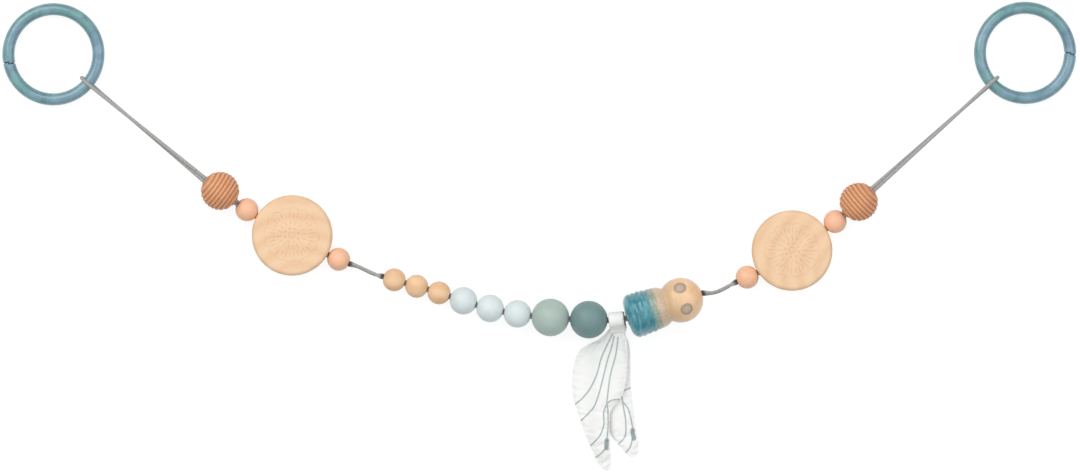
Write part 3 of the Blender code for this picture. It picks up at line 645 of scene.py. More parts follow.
def figure_paint(name):
    """Thick glossy blue paint, olive and bare bands, a clear-coated head and two painted eyes."""
    n = Nodes(name)
    grain = n.noise((220, 1500, 1500), 4.0, 0.6)
    mottle = n.noise((330, 150, 150), 3.0, 0.55, 0.8)
    soft = n.noise(260, 3.0, 0.6)
    wander = n.math("SUBTRACT", soft, 0.5)
    along = n.math("ADD", n.attribute("along"), n.math("MULTIPLY", wander, 2.8))
    tone = n.blend_of(mottle, 0.8, grain, 0.2)
    blue = n.ramp(tone, (0.3, rgb(44, 114, 134)), (0.48, rgb(68, 145, 157)), (0.66, rgb(106, 176, 186)))
    olive = n.ramp(grain, (0.3, rgb(134, 152, 140)), (0.7, rgb(172, 180, 160)))
    beige = n.ramp(grain, (0.3, rgb(204, 176, 150)), (0.7, rgb(222, 196, 168)))
    bare = n.ramp(tone, (0.3, rgb(244, 193, 143)), (0.5, rgb(252, 208, 164)), (0.7, rgb(254, 220, 180)))
    stain = n.range(n.noise(85, 2.0, vector=n.mapped(move=(0.31, 0.12, 0.2))), 0.5, 0.72, 0.0, 0.4)
    bare = n.mix(stain, bare, rgb(226, 160, 108))
    # Painted shade: the bare head grows darker towards the neck
    bare = n.mix(n.range(along, 24, 33, 0.62, 0.0), bare, rgb(204, 172, 128))
    paint = blue
    for (start, end), band in zip(BAND_EDGES, (olive, beige, bare)):
        paint = n.mix(n.range(along, start, end), paint, band)
    eye = n.math("ADD", n.attribute("eye"), n.math("MULTIPLY", wander, 0.3))
    iris = n.mix(n.range(eye, 1.2, 2.7), rgb(202, 181, 163), rgb(178, 156, 135))
    paint = n.mix(n.range(eye, EYE_RADIUS - 0.1, EYE_RADIUS + 0.1), iris, paint)
    gloss = n.range(along, 13.5, 22, 0.12, 0.42)
    return n.finish(Base_Color=paint, Roughness=n.math("ADD", gloss, n.math("MULTIPLY", wander, 0.12)),
                    Normal=n.bump(grain, 0.00006, 0.3, Normal=n.bump(mottle, 0.0005, 0.3)),
                    Coat_Weight=0.5, Coat_Roughness=0.1)


# Beads
def groove_share(along, radius):
    """Depth share of the turned grooves at a distance along the bore."""
    pitch = 2 * radius / (GROOVE_COUNT + 0.6)
    fade = 1 - max(0.0, abs(along) / radius - 0.93) / 0.07
    return max(0.0, (wave(along / pitch) - 0.35) / 0.65) ** 1.3 * fade


def bead_profile(radius, grooved, steps):
    """A ball drilled through, the edges of its bore eased. Returns the profile and the groove shares."""
    first = asin(BORE_RADIUS / radius) + MOUTH_EASE / radius
    profile, shares = [], []
    for t in evenly(steps):
        angle = mixed(first, pi - first, t)
        shares.append(groove_share(cos(angle) * radius, radius) if grooved else 0.0)
        reach = radius - GROOVE_DEPTH * shares[-1]
        profile.append((reach * cos(angle), reach * sin(angle)))
    end = sqrt(radius**2 - BORE_RADIUS**2)
    mouth = []
    for turn in (0.35, 0.7, 1.0):
        mouth.append((end - MOUTH_EASE * 0.9 * turn**1.6, BORE_RADIUS + MOUTH_EASE * (1 - turn) ** 1.4))
    profile += [(-x, y) for x, y in mouth] + mouth[::-1]
    shares += [0.0] * (len(profile) - len(shares))
    return profile, shares


def make_bead(name, radius, slot, material, sides=64, steps=44, grooved=False):
    profile, shares = bead_profile(radius, grooved, steps)
    obj = lathe(name + "_look", profile, sides, material)
    if grooved:
        set_point_values(obj, "groove", np.repeat(shares, sides))
    return thread_on(obj, name, slot)


# Discs
def line_share(distance, half_width):
    """Depth share of an engraved line at a distance from its middle."""
    return max(0.0, 1 - (distance / half_width) ** 2)


def spoke_offset(radius, angle, count, phase=0.0):
    """Distance from the middle of the nearest of several spokes, and that spoke's number."""
    turns = angle / (2 * pi) * count + phase
    number = round(turns)
    return (turns - number) * 2 * pi * radius / count, number % count


def rosette(radius, angle):
    """Depth share of a plain rosette of dots, rays and scallops, radius in millimetres."""
    depth = line_share(radius - INNER_CIRCLE, 0.3)
    across, _ = spoke_offset(DOT_CIRCLE, angle, DOT_COUNT)
    depth = max(depth, line_share(hypot(radius - DOT_CIRCLE, across) - DOT_RADIUS, 0.26))
    for count, phase, start, ends, half_width in RAYS:
        across, number = spoke_offset(radius, angle, count, phase)
        if start < radius < ends[number % 2]:
            depth = max(depth, line_share(across, half_width))
    scallop = SCALLOP_CIRCLE + SCALLOP_DEPTH * abs(cos(SCALLOP_COUNT / 2 * angle))
    return max(depth, 0.8 * line_share(radius - scallop, 0.26))


def disc_rows():
    """Rings of the disc as (radius, height, engraved), from the top's middle to the bottom's."""
    top, wall, flat = DISC_HALF_THICKNESS, DISC_HALF_THICKNESS - DISC_EASE, DISC_RADIUS - DISC_EASE
    rows = [(0.0, top, False)]
    rows += [(mixed(0.4, ENGRAVING_RADIUS, t), top, True) for t in evenly(62)]
    rows += [(mixed(ENGRAVING_RADIUS, flat, t), top, False) for t in evenly(4)[1:]]
    edge = [(sin(pi / 2 * t), cos(pi / 2 * t)) for t in evenly(8)]
    rows += [(flat + DISC_EASE * out, wall + DISC_EASE * up, False) for out, up in edge[1:]]
    rows += [(DISC_RADIUS, wall * share, False) for share in (0.5, 0, -0.5)]
    rows += [(flat + DISC_EASE * out, -wall - DISC_EASE * up, False) for out, up in edge[7::-1]]
    return rows + [(radius, -top, False) for radius in (15.0, 10.0, 5.0, 0.0)]


def make_disc(name, material, sides=360):
    """A turned disc, engraved on its upper face and drilled through its edge for the elastic."""
    rows = disc_rows()
    obj = lathe(name + "_look", [(height, radius) for radius, height, _ in rows], sides, material, True)
    shares = []
    for radius, _, engraved in rows:
        turns = evenly(sides)[:-1] if radius else [0]
        shares += [rosette(radius, 2 * pi * t) if engraved else 0.0 for t in turns]
    for vertex, share in zip(obj.data.vertices, shares):
        vertex.co.z -= ENGRAVING_DEPTH * share * MM
    set_point_values(obj, "groove", shares)
    drill = DISC_RADIUS + 5
    bore = [(-drill, 0), (-drill, BORE_RADIUS), (drill, BORE_RADIUS), (drill, 0)]
    cut(obj, lathe("cutter", bore, 32))
    return thread_on(obj, name, "disc_wood")


# Rings
def ring_profile(bar_radius, sides):
    """The bar's round section, with a trace of the mould's parting line."""
    profile = []
    for out, up in circle(sides):
        radius = bar_radius * (1 + PARTING_RISE * exp(-((up / 0.09) ** 2)))
        profile.append((radius * up, RING_RADIUS + radius * out))
    return profile


def seam_cutter(angle):
    """The stepped parting of the snap joint, which reaches in as far as the peg inside the bar."""
    half, step = SEAM_WIDTH / 2, SEAM_STEP / 2
    turn = ((step - half, SEAM_REACH), (step + half, SEAM_REACH), (step + half, -half), (half - step, -half))
    run = (*turn, *((-out, -sideways) for out, sideways in turn))
    outline = [(RING_RADIUS + out, -sideways) for sideways, out in run]
    cutter = prism("cutter", outline, RING_BAR_RADIUS + 1)
    cutter.data.transform(Matrix.Rotation(radians(angle), 4, "Z"))
    peg = lathe("peg", ring_profile(RING_BAR_RADIUS - SEAM_DEPTH, 32), 160, None, True)
    return cut(cutter, peg)


def make_ring(name, material):
    """A moulded ring, closed by its snap joint."""
    low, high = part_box(name)
    centre = (low + high) / 2
    outward = (hinge_of(name) - centre).normalized()
    across = UP.cross(outward).normalized()
    axes = Matrix((outward, across, outward.cross(across))).transposed().to_4x4()
    obj = lathe(name + "_look", ring_profile(RING_BAR_RADIUS, 40), 200, material, True)
    cut(obj, seam_cutter(SEAM_ANGLES[name]))
    points = mesh_points(obj.data) / MM
    off_bar = np.hypot(np.hypot(points[:, 0], points[:, 1]) - RING_RADIUS, points[:, 2])
    # Painted shade inside the seam's slit: the points that lie below the bar's surface
    set_point_values(obj, "seam_slit_shade", np.clip((RING_BAR_RADIUS - 0.12 - off_bar) / 0.2, 0, 1))
    # Painted shade along the bar's rims, strongest at the parting line's height
    set_point_values(obj, "rim_painted_shade", np.exp(-((points[:, 2] / RIM_SHADE_REACH) ** 2)))
    set_down(obj, Matrix.Translation(centre) @ axes, 0.0)
    return finish_piece(obj, name, "ring_blue", name)


# Elastic
def hermite(stations, spacing):
    """Dense points through (point, direction) stations."""
    points = []
    for (p, d), (q, e) in zip(stations, stations[1:]):
        length = (q - p).length
        steps = max(2, int(length / (spacing * MM)))
        points += [eased(p, d * length, q, e * length, t) for t in evenly(steps)[:-1]]
    return points + [stations[-1][0]]


def way_at(points, i):
    """The way that a line runs at one of its points."""
    return (points[min(i + 1, len(points) - 1)] - points[max(i - 1, 0)]).normalized()


def tube_mesh(paths, name, material, sides=16, radius=STRAND_RADIUS):
    """Round strands along lists of points, in one mesh, with their turn and run in its UV map."""
    verts, faces, uvs = [], [], []
    radius *= MM
    for points in paths:
        start, run, runs, side_axis = len(verts), 0.0, [], None
        for i, point in enumerate(points):
            along = way_at(points, i)
            side_axis = side_axis or UP.cross(along)
            side_axis = (side_axis - along * side_axis.dot(along)).normalized()
            other = along.cross(side_axis)
            run += (point - points[max(i - 1, 0)]).length
            runs.append(run / (2 * pi * radius))
            verts += [point + (side_axis * x + other * y) * radius for x, y in circle(sides)]
        for i in range(len(points) - 1):
            a, b = start + i * sides, start + (i + 1) * sides
            for side in range(sides):
                after = (side + 1) % sides
                faces.append((a + side, a + after, b + after, b + side))
                u, v = side / sides, (side + 1) / sides
                uvs += [(u, runs[i]), (v, runs[i]), (v, runs[i + 1]), (u, runs[i + 1])]
        ends = range(start, start + sides), range(len(verts) - sides, len(verts))
        faces += [tuple(ends[0])[::-1], tuple(ends[1])]
        uvs += [(0, 0)] * (2 * sides)
    return new_object(name, verts, faces, material, uvs=uvs)


def both_strands(centreline, rolls):
    """The two strands side by side along a centreline, rolled by the given angles."""
    paths = ([], [])
    for i, point in enumerate(centreline):
        along = way_at(centreline, i)
        left = UP.cross(along).normalized()
        offset = (left * cos(rolls[i]) + along.cross(left) * sin(rolls[i])) * STRAND_RADIUS * MM
        paths[0].append(point + offset)
        paths[1].append(point - offset)
    return paths


def stations_between(first, second):
    """Stations of the elastic from the middle of one piece to the middle of the next."""
    (a, da, reach_a), (b, db, reach_b) = bore_of(first), bore_of(second)
    between = (a + da * reach_a + b - db * reach_b) / 2
    return [(a, da), (a + da * reach_a * 0.8, da), (between, (da + db).normalized()),
            (b - db * reach_b * 0.8, db), (b, db)]


def bend_piece(obj, bodies, along, *nodes):
    """Blends elastic across the hinge between two of its lengths."""
    first, second = bodies
    turning = first if first in JOINTS and JOINTS[first]["parent"] == second else second
    hinge, reach = hinge_of(turning), along * BEND_REACH * MM
    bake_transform(obj, first, second, start=tuple(hinge - reach), end=tuple(hinge + reach))
    return label_piece(obj, "elastic_grey", *nodes)


def add_cord(name, first, second, material, *nodes):
    """Elastic from the middle of one piece to the middle of the next, bent if their lengths differ."""
    bodies = [cord_of(piece) for piece in (first, second)]
    bends = bodies[0] != bodies[1]
    points = hermite(stations_between(first, second), 0.7 if bends else 1.2)
    obj = tube_mesh(both_strands(points, [0] * len(points)), name, material)
    if not bends:
        return finish_piece(obj, bodies[0], "elastic_grey", *nodes)
    along = (place_of(first)[1] + place_of(second)[1]).normalized()
    return bend_piece(obj, bodies, along, *nodes)


def stretch_roll(t):
    """One strand over the other for most of the way between two beads, and on to a half turn."""
    roll = mixed(MOUTH_ROLL, STRETCH_ROLL, smooth_step(t / ROLL_SHARE))
    return mixed(roll, pi - MOUTH_ROLL, smooth_step((t - 1 + ROLL_SHARE) / ROLL_SHARE))


def add_stretch(name, first, second, material):
    """Bare elastic between two pieces, in two halves that meet in its middle, one to each bend."""
    (a, da, reach_a), (b, db, reach_b) = bore_of(first), bore_of(second)
    start, end = a + da * reach_a, b - db * reach_b
    pull = (end - start).length * STRETCH_PULL
    lifts = [Vector((0, lift * MM, 0)) for lift in STRETCH_LIFTS[name]]
    leaving, arriving = 3 * (da * pull + lifts[0]), 3 * (db * pull - lifts[1])
    steps, inside = 40, 10
    points = [a + da * reach_a * s for s in np.linspace(0, 0.96, inside)]
    points += [eased(start, leaving, end, arriving, t) for t in evenly(steps)]
    points += [b - db * reach_b * s for s in np.linspace(0.96, 0, inside)]
    rolls = [*np.linspace(0, MOUTH_ROLL, inside), *map(stretch_roll, evenly(steps)),
             *np.linspace(pi - MOUTH_ROLL, pi, inside)]
    strands = both_strands(points, rolls)
    half, cord = inside + steps // 2, name + "_cord"
    halves = ((0, half + 1, (cord_of(first), cord), da, (cord,)),
              (half, len(points), (cord, cord_of(second)), db, ()))
    for number, (low, high, bodies, along, nodes) in enumerate(halves, 1):
        obj = tube_mesh([strand[low:high] for strand in strands], f"{name}_{number}", material)
        places = mesh_points(obj.data)
        past = [np.linalg.norm(places - np.array(c), axis=1) - r for c, r in ((a, reach_a), (b, reach_b))]
        # Painted shade on the elastic within a short reach of the beads it leaves
        set_point_values(obj, "mouth", np.clip(MOUTH_SHADE_REACH - np.minimum(*past) / MM, 0, 1))
        bend_piece(obj, bodies, along, *nodes)


def lead_legs(side):
    """Points of a lead's upper and lower leg and of its half turn round the ring's bar."""
    hitch, pivot = hinge_of(side + "_ring"), hinge_of(side + "_lead_cord")
    flat = Vector((pivot.x - hitch.x, pivot.y - hitch.y, 0))
    outward = flat.normalized()
    across = UP.cross(outward)
    radius = (RING_BAR_RADIUS + HITCH_CLEARANCE + LEAD_STRAND_RADIUS) * MM
    reach, rise = flat.length, pivot.z - hitch.z
    touch, lift = acos(radius / hypot(reach, rise)), atan2(rise, reach)
    top, bottom = lift + touch, lift - touch + 2 * pi

    def at(distance, height, sideways):
        return hitch + outward * distance + UP * height + across * sideways * MM

    def leg(angle, way):
        points = []
        for t in evenly(90):
            distance, height = mixed(reach, radius * cos(angle), t), mixed(rise, radius * sin(angle), t)
            points.append(at(distance, height, way * mixed(LEG_SPREAD, -CROSSING_OFFSET, t)))
        return points

    turn = []
    for t in evenly(24)[1:-1]:
        angle = mixed(top, bottom, t)
        turn.append(at(radius * cos(angle), radius * sin(angle), CROSSING_OFFSET * (2 * t - 1)))
    return leg(top, 1), leg(bottom, -1), turn, outward


def add_lead(side, material):
    """The doubled lead from a grooved bead to its ring, hitched round the ring's bar."""
    upper, lower, turn, outward = lead_legs(side)
    split = 7
    hairpin = upper[split:] + turn + lower[split:][::-1]
    obj = tube_mesh((hairpin,), side + "_lead_look", material, radius=LEAD_STRAND_RADIUS)
    lead, cord, bead = (side + part for part in ("_lead_cord", "_grooved_cord", "_grooved_bead"))
    finish_piece(obj, lead, "elastic_grey", lead)
    centre, along = place_of(bead)
    if along.dot(outward) > 0:
        along = -along
    left = UP.cross(outward) * LEAD_STRAND_RADIUS * MM
    paths = []
    for way, points in ((1, upper), (-1, lower)):
        inner = centre + left * way
        leaving = (points[split] - points[0]).normalized()
        stations = [(inner, along), (inner + along * half_length(bead) * 0.8, along),
                    (points[1], (along + leaving).normalized()), (points[split], leaving)]
        paths.append(hermite(stations, 0.6))
    obj = tube_mesh(paths, side + "_lead_bend", material, radius=LEAD_STRAND_RADIUS)
    bend_piece(obj, (cord, lead), -outward, cord)


def add_knot(material):
    """An overhand knot of the two ends, in the figure's drilled pocket."""
    place = axes_at("dragonfly_figure", FIGURE_HALF_LENGTH - POCKET_DEPTH / 2)
    points = []
    for turn in evenly(72):
        t = 2 * pi * turn
        loop = (1.1 * sin(3 * t), 0.72 * (sin(t) + 2 * sin(2 * t)), 0.72 * (cos(t) - 2 * cos(2 * t)))
        points.append(place @ (Vector(loop) * MM))
    return finish_piece(tube_mesh((points,), "knot_look", material), "figure_cord", "elastic_grey")


def add_elastic(material):
    """The doubled elastic from ring to ring. Each of its lengths is replaced by its first piece."""
    for side in ("left", "right"):
        add_lead(side, material)
    pairs = list(zip(THREAD, THREAD[1:]))
    # The leads' bends already stand for the lengths in the two end beads
    covered = {cord_of(THREAD[0]), cord_of(THREAD[-1])}
    for kind in ("run", "bend"):
        number = 0
        for first, second in pairs:
            cord = cord_of(second)
            if first in STRETCHES or kind != ("run" if cord == cord_of(first) else "bend"):
                continue
            number += 1
            add_cord(f"elastic_{kind}_{number}", first, second, material, *({cord} - covered))
            covered.add(cord)
    for first, second in pairs:
        if first in STRETCHES:
            add_stretch(STRETCHES[first], first, second, material)
    add_knot(material)


# The turned insect
BODY_OUTLINE = (
    (0.0, 4.4), (0.12, 6.6), (0.5, 8.5), (1.2, 9.9), (2.4, 11.2), (3.6, 11.95), (4.6, 12.2),
    (6.0, 12.1), (8.5, 12.0), (10.6, 11.85), (13.0, 11.6), (14.8, 11.35), (17.0, 11.1),
    (19.0, 10.8), (20.6, 10.2), (21.6, 9.55), (22.35, 9.1),
)


def smooth_between(points, x):
    """Value at x on a curve through (x, y) points that never overshoots them."""
    xs, ys = zip(*points)
    x = min(max(x, xs[0]), xs[-1])
    last = len(xs) - 1
    k = max(i for i in range(last) if xs[i] <= x)
    slopes = [(ys[i + 1] - ys[i]) / (xs[i + 1] - xs[i]) for i in range(last)]

    def tangent(i):
        if i in (0, last):
            return slopes[max(i - 1, 0)]
        a, b = slopes[i - 1], slopes[i]
        return 0.0 if a * b <= 0 else 2 * a * b / (a + b)

    run = xs[k + 1] - xs[k]
    return eased(ys[k], run * tangent(k), ys[k + 1], run * tangent(k + 1), (x - xs[k]) / run)


def figure_profile():
    """Half outline of the insect from its back end: body, neck, head, bore and pocket."""
    edge = BODY_OUTLINE[-1][0]
    places = (*np.linspace(0, 1.2, 14), *np.linspace(1.35, edge, 130))
    profile = [(x, smooth_between(BODY_OUTLINE, x)) for x in places]
    neck, mouth = pi - asin(NECK_RADIUS / HEAD_RADIUS), asin(HEAD_MOUTH_RADIUS / HEAD_RADIUS)
    for t in evenly(70)[1:]:
        angle = mixed(neck, mouth, t)
        profile.append((HEAD_CENTRE + HEAD_RADIUS * cos(angle), HEAD_RADIUS * sin(angle)))
    end = 2 * FIGURE_HALF_LENGTH
    profile += [(end - 0.3, 2.3), (end - 0.65, BORE_RADIUS), (POCKET_DEPTH, BORE_RADIUS),
                (POCKET_DEPTH, POCKET_RADIUS), (1.2, POCKET_RADIUS)]
    return profile


def rib_depth(x, angle):
    """How deep the paint's hand-turned ribs lie at a place on the body, in millimetres."""
    drift = noise.noise(Vector((cos(angle), sin(angle), x * 0.12))) * 0.9
    ribs = RIB_DEPTH * wave((x - 3.4 + drift) / RIB_PITCH) ** 1.5
    lumps = noise.noise(Vector((x * 0.36, cos(angle) * 1.9, sin(angle) * 1.9 + 7)))
    painted = (ribs + LUMP_DEPTH * lumps + 0.12) * within(x, 2.4, 1.4, 15.2, 1.5)
    return painted + MARK_DEPTH * wave((x - 14.9) / MARK_PITCH) * within(x, 14.5, 1.5, 21.0, 1.2)


def make_figure(sides=176):
    """The turned insect: a ribbed, thickly painted body, a neck and a round head with two eyes."""
    obj = lathe("dragonfly_look", figure_profile(), sides, figure_paint("figure_look"))
    eyes = []
    for ahead, aside in EYE_PLACES:
        up = sqrt(HEAD_RADIUS**2 - ahead**2 - aside**2)
        eyes.append(Vector((HEAD_CENTRE + ahead, aside, up)) * MM)
    head = Vector((HEAD_CENTRE * MM, 0, 0))
    alongs, nearest = [], []
    for vertex in obj.data.vertices:
        co = vertex.co
        alongs.append(co.x / MM)
        radial = Vector((0, co.y, co.z))
        if radial.length > 6 * MM and alongs[-1] < 22:
            co.xyz -= radial.normalized() * rib_depth(alongs[-1], atan2(co.z, co.y)) * MM
        nearest.append(min((co - eye).length for eye in eyes) / MM)
        if radial.length > 3 * MM:
            recess = smooth_step((EYE_RADIUS + 0.35 - nearest[-1]) / 0.6) * EYE_RECESS * MM
            co.xyz -= (co - head).normalized() * recess
    set_point_values(obj, "along", alongs)
    set_point_values(obj, "eye", nearest)
    return thread_on(obj, "dragonfly_figure", "figure_blue", FIGURE_HALF_LENGTH)


# Wings: outlines as (down, left edge, right edge) in millimetres from the middle of the tab
FRONT_OUTLINE = (
    (4.8, -3.8, 3.7), (7.2, -5.9, 4.6), (9.4, -8.0, 5.2), (11.3, -10.8, 5.5), (12.9, -14.0, 5.6),
    (17.1, -20.0, 5.7), (23.3, -22.6, 5.6), (31.6, -24.0, 5.0), (38.5, -23.8, 3.6),
    (42.7, -22.9, 1.4), (46.8, -21.7, -2.2), (51.0, -20.2, -3.8), (58.6, -17.8, -3.9),
    (68.3, -13.7, -3.6), (74.5, -10.9, -3.2), (78.4, -8.3, -3.7), (80.7, -5.9, -4.7),
)
BACK_OUTLINE = (
    (4.8, -3.2, 3.3), (8.6, -4.2, 4.6), (11.6, -5.4, 6.0), (19.0, -8.6, 7.2), (33.8, -8.7, 7.3),
    (45.0, -7.9, 8.4), (52.4, -6.6, 9.5), (61.0, -3.5, 10.6), (66.0, 0.4, 11.5), (70.9, 4.5, 11.4),
    (73.3, 7.4, 8.9),
)
# How far the pinch lifts each wing's underside off what it lies on, as (down, height)
FRONT_DESCENT = ((4.8, 5.3), (7.2, 5.0), (11.6, 2.8), (18.0, 0.6), (25.0, 0.0))
BACK_DESCENT = ((4.8, 7.6), (7.4, 6.8), (11.6, 3.3), (18.0, 0.5), (25.0, 0.0))
# Printed lines and spots, as (across, down) in millimetres from the middle of the tab
FRONT_VEINS = (
    ((-2.2, 8.0), (-5.3, 14.0), (-8.4, 21.4), (-10.4, 28.7), (-13.8, 36.1), (-18.1, 41.8), (-22.6, 45.4)),
    ((-1.6, 9.4), (-3.2, 15.9), (-5.4, 23.2), (-7.7, 32.4), (-10.1, 41.0), (-12.9, 47.4), (-19.4, 54.4)),
    ((0.4, 9.8), (-1.0, 20.2), (-3.4, 28.7), (-4.9, 38.5), (-5.4, 44.6)),
    ((-5.4, 44.6), (-7.0, 49.5), (-7.0, 55.7), (-9.1, 61.7), (-14.4, 67.6)),
    ((-5.4, 44.6), (-4.8, 48.3), (-4.7, 56.9), (-5.3, 63.6), (-5.5, 67.2)),
    ((-5.5, 67.2), (-7.6, 70.4), (-11.6, 73.6)),
    ((-5.4, 44.6), (-3.4, 42.9), (-0.4, 42.4), (1.6, 42.6)),
)
FRONT_SPOT = ((-5.4, 64.2), (-5.6, 68.2))
BACK_VEINS = (
    ((7.4, 36.3), (2.7, 38.9), (3.0, 43.5), (3.7, 48.2)),
    ((3.7, 48.2), (4.6, 53.7), (4.4, 61.7), (0.9, 66.4)),
    ((3.0, 43.5), (6.2, 48.3), (8.0, 55.7), (8.7, 60.7)),
    ((8.7, 60.7), (7.2, 67.3), (4.6, 70.9)),
)
BACK_SPOT = ((8.2, 58.8), (8.9, 63.2))
# Half width of a printed mark, and how much of it is its soft edge
VEIN_EDGE = (0.52, 0.32)
SPOT_EDGE = (1.4, 0.4)


def root_tilt(x, down):
    """The wings' roots lie along the tab, which rises to the right."""
    return 0.11 * x * clamped(1 - (down - 4.8) / 13)


def front_base(x, down):
    """Height of the front wing's underside: down from the pinch, over the back wing, then drooping."""
    climb = smooth_step((x - CLIMB_START) / CLIMB_WIDTH)
    climb = mixed(0.55 + 0.45 * climb, climb, clamped((down - 11.6) / 9))
    droop = 1 - smooth_step((down - DROOP_START) / DROOP_LENGTH)
    return OVERLAP_HEIGHT * climb * droop + smooth_between(FRONT_DESCENT, down) + root_tilt(x, down)


def back_base(x, down):
    return smooth_between(BACK_DESCENT, down) + root_tilt(x, down)


def wing_grid(outline, rows, columns):
    """Two layers of a regular grid inside an outline, sewn along the border.

    Returns the faces and a row for each point: its flat place in millimetres, its side (1 above,
    -1 below, 0 on the border) and how far it lies from the nearest side edge.
    """
    downs, *edges = zip(*outline)
    table, grid, faces = [], {}, []
    for i, t in enumerate(evenly(rows)):
        down = mixed(downs[0], downs[-1], 1 - (1 - t) ** 1.15)
        left, right = (smooth_between(list(zip(downs, edge)), down) for edge in edges)
        for j, s in enumerate(evenly(columns)):
            x = mixed(left, right, wave(s / 2))
            inset = max(0.0, min(x - left, right - x, (downs[-1] - down) * 1.2))
            layers = (0,) if j in (0, columns) or i in (0, rows) else (-1, 1)
            grid[i, j] = (len(table), len(table) + len(layers) - 1)
            table += [(x, down, side, inset) for side in layers]
    for i in range(rows):
        for j in range(columns):
            lower, upper = zip(grid[i, j], grid[i, j + 1], grid[i + 1, j + 1], grid[i + 1, j])
            faces += [lower, upper[::-1]]
    return np.array(table), faces


def swell(obj, border):
    """Blows up two sewn layers by cloth simulation. Returns how each point moved, in millimetres."""
    rest = mesh_points(obj.data)
    obj.data.transform(Matrix.Scale(CLOTH_SCALE, 4))
    obj.vertex_groups.new(name="sewn").add([int(i) for i in border], 1.0, "REPLACE")
    modifier = obj.modifiers.new("cloth", "CLOTH")
    for key, value in CLOTH_SETTINGS.items():
        setattr(modifier.settings, key, value)
    modifier.settings.effector_weights.gravity = 0
    modifier.collision_settings.use_collision = False
    scene = bpy.context.scene
    scene.frame_start = modifier.point_cache.frame_start = 1
    scene.frame_end = modifier.point_cache.frame_end = CLOTH_FRAMES
    for number in range(1, CLOTH_FRAMES + 1):
        scene.frame_set(number)
    puffed = mesh_points(flattened(obj)) / CLOTH_SCALE
    scene.frame_set(1)
    obj.vertex_groups.clear()
    move = (puffed - rest) / MM
    size = np.linalg.norm(move, axis=1)
    far = size > WING_SWELL_CAP
    move[far] *= (WING_SWELL_CAP / size[far])[:, None]
    return move


def curved(line, steps=8):
    """A smooth line through the given points."""
    out = []
    last = len(line) - 1
    for i in range(last):
        p0, p1, p2, p3 = (np.array(line[min(max(k, 0), last)]) for k in (i - 1, i, i + 1, i + 2))
        out += [eased(p1, (p2 - p0) / 2, p2, (p3 - p1) / 2, t) for t in evenly(steps)[:-1]]
    return out + [np.array(line[-1])]


def line_distance(points, lines):
    """Distance of each flat point from the nearest of several lines."""
    best = np.full(len(points), 1e9)
    for line in lines:
        for a, b in zip(line, line[1:]):
            a, way = np.array(a), np.array(b) - np.array(a)
            t = np.clip(((points - a) @ way) / (way @ way), 0, 1)
            best = np.minimum(best, np.linalg.norm(points - (a + t[:, None] * way), axis=1))
    return best


def wing_surface(table, move, base, outline, seed):
    """The padded wing's own points: it lies on its base, swells upward and gathers at the pinch."""
    placed = []
    for (x, down, side, inset), shift in zip(table, move):
        past = down - outline[0][0]
        rise = max(0.0, side * shift[2])
        if side > 0:
            z = WING_SEAM_HEIGHT + WING_TOP_RISE * (1 - exp(-rise / 1.3))
        else:
            z = WING_SEAM_HEIGHT * (1 - 0.92 * (1 - exp(-rise / 0.5)))
        inner = 1 - exp(-inset / 1.2)
        pleat = clamped(1 - past / PLEAT_REACH) * inner * sin((x + 0.5) * 2.0 / (0.5 + past * 0.055) + seed)
        pucker = exp(-((inset - 1.0) / 0.9) ** 2) * sin(down * 2.3 + seed + 0.8 * sin(down * 0.7))
        fold = inner * noise.noise(Vector((x * 0.16 + seed, down * 0.06, 0.3)))
        creases = PLEAT_DEPTH * pleat + FOLD_DEPTH * fold + PUCKER_DEPTH * pucker
        z = z * (0.2 + 0.8 * smooth_step(past / 9)) + creases * (1 if side > 0 else 0.25)
        height = max(base(x, down) + z, 0.08)
        placed.append(((x + shift[0] * 0.8) * MM, (shift[1] * 0.8 - down) * MM, height * MM))
    return placed


def make_wing(name, outline, base, veins, spot, material, rows, columns, seed):
    """A wing of two cotton layers sewn at the edge and lightly filled."""
    table, faces = wing_grid(outline, rows, columns)
    points, sides, insets = table[:, :2], table[:, 2], table[:, 3]
    verts = [(x * MM, -down * MM, side * 0.12 * MM) for x, down, side, _ in table]
    obj = new_object(name, verts, faces, material)
    move = swell(obj, np.flatnonzero(sides == 0))
    placed = wing_surface(table, move, base, outline, seed)
    obj.data.vertices.foreach_set("co", np.array(placed, np.float32).ravel())
    for axis, values in zip(("across", "down"), points.T):
        set_point_values(obj, axis, values)
    lay_flat(obj, points)
    grown = subdivided(obj, 2).attributes
    places = np.stack([read_values(grown[axis].data, "value") for axis in ("across", "down")], 1)
    marks = (("vein", [curved(line) for line in veins], VEIN_EDGE), ("spot", [spot], SPOT_EDGE))
    for mark, lines, (half_width, soft) in marks:
        inked = (half_width - line_distance(places, lines)) / soft
        set_point_values(obj, mark, np.clip(inked, 0, 1))
    centre = place_of("wings")[0]
    obj.matrix_world = Matrix.Translation((centre.x, centre.y, 0))
    return obj


# Tab
def tab_path(radius, upper_leg, lower_leg):
    """Side view of one turn of tape: a leg above the wings, round the elastic, a leg below them.

    The legs are (reach, offset) points from the elastic, along and square to the pinch.
    """
    path = [PINCH_ALONG * reach - PINCH_SQUARE * offset for reach, offset in upper_leg]
    shoulder = radians(TAB_SHOULDER_ANGLE)
    for t in evenly(12):
        angle = TAB_PINCH - mixed(shoulder, 2 * pi - shoulder, t)
        path.append(radius * np.array((cos(angle), sin(angle))))
    path += [PINCH_ALONG * reach + PINCH_SQUARE * offset for reach, offset in lower_leg[::-1]]
    return curved(path, 5)


def tab_edges(reach):
    """Left and right edges of the tape, which spreads towards the wings."""
    start, end = TAB_FLARE_REACH
    spread = smooth_step((reach - start) / (end - start))
    return [side + flare * spread for side, flare in zip(TAB_SIDES, TAB_FLARES)]


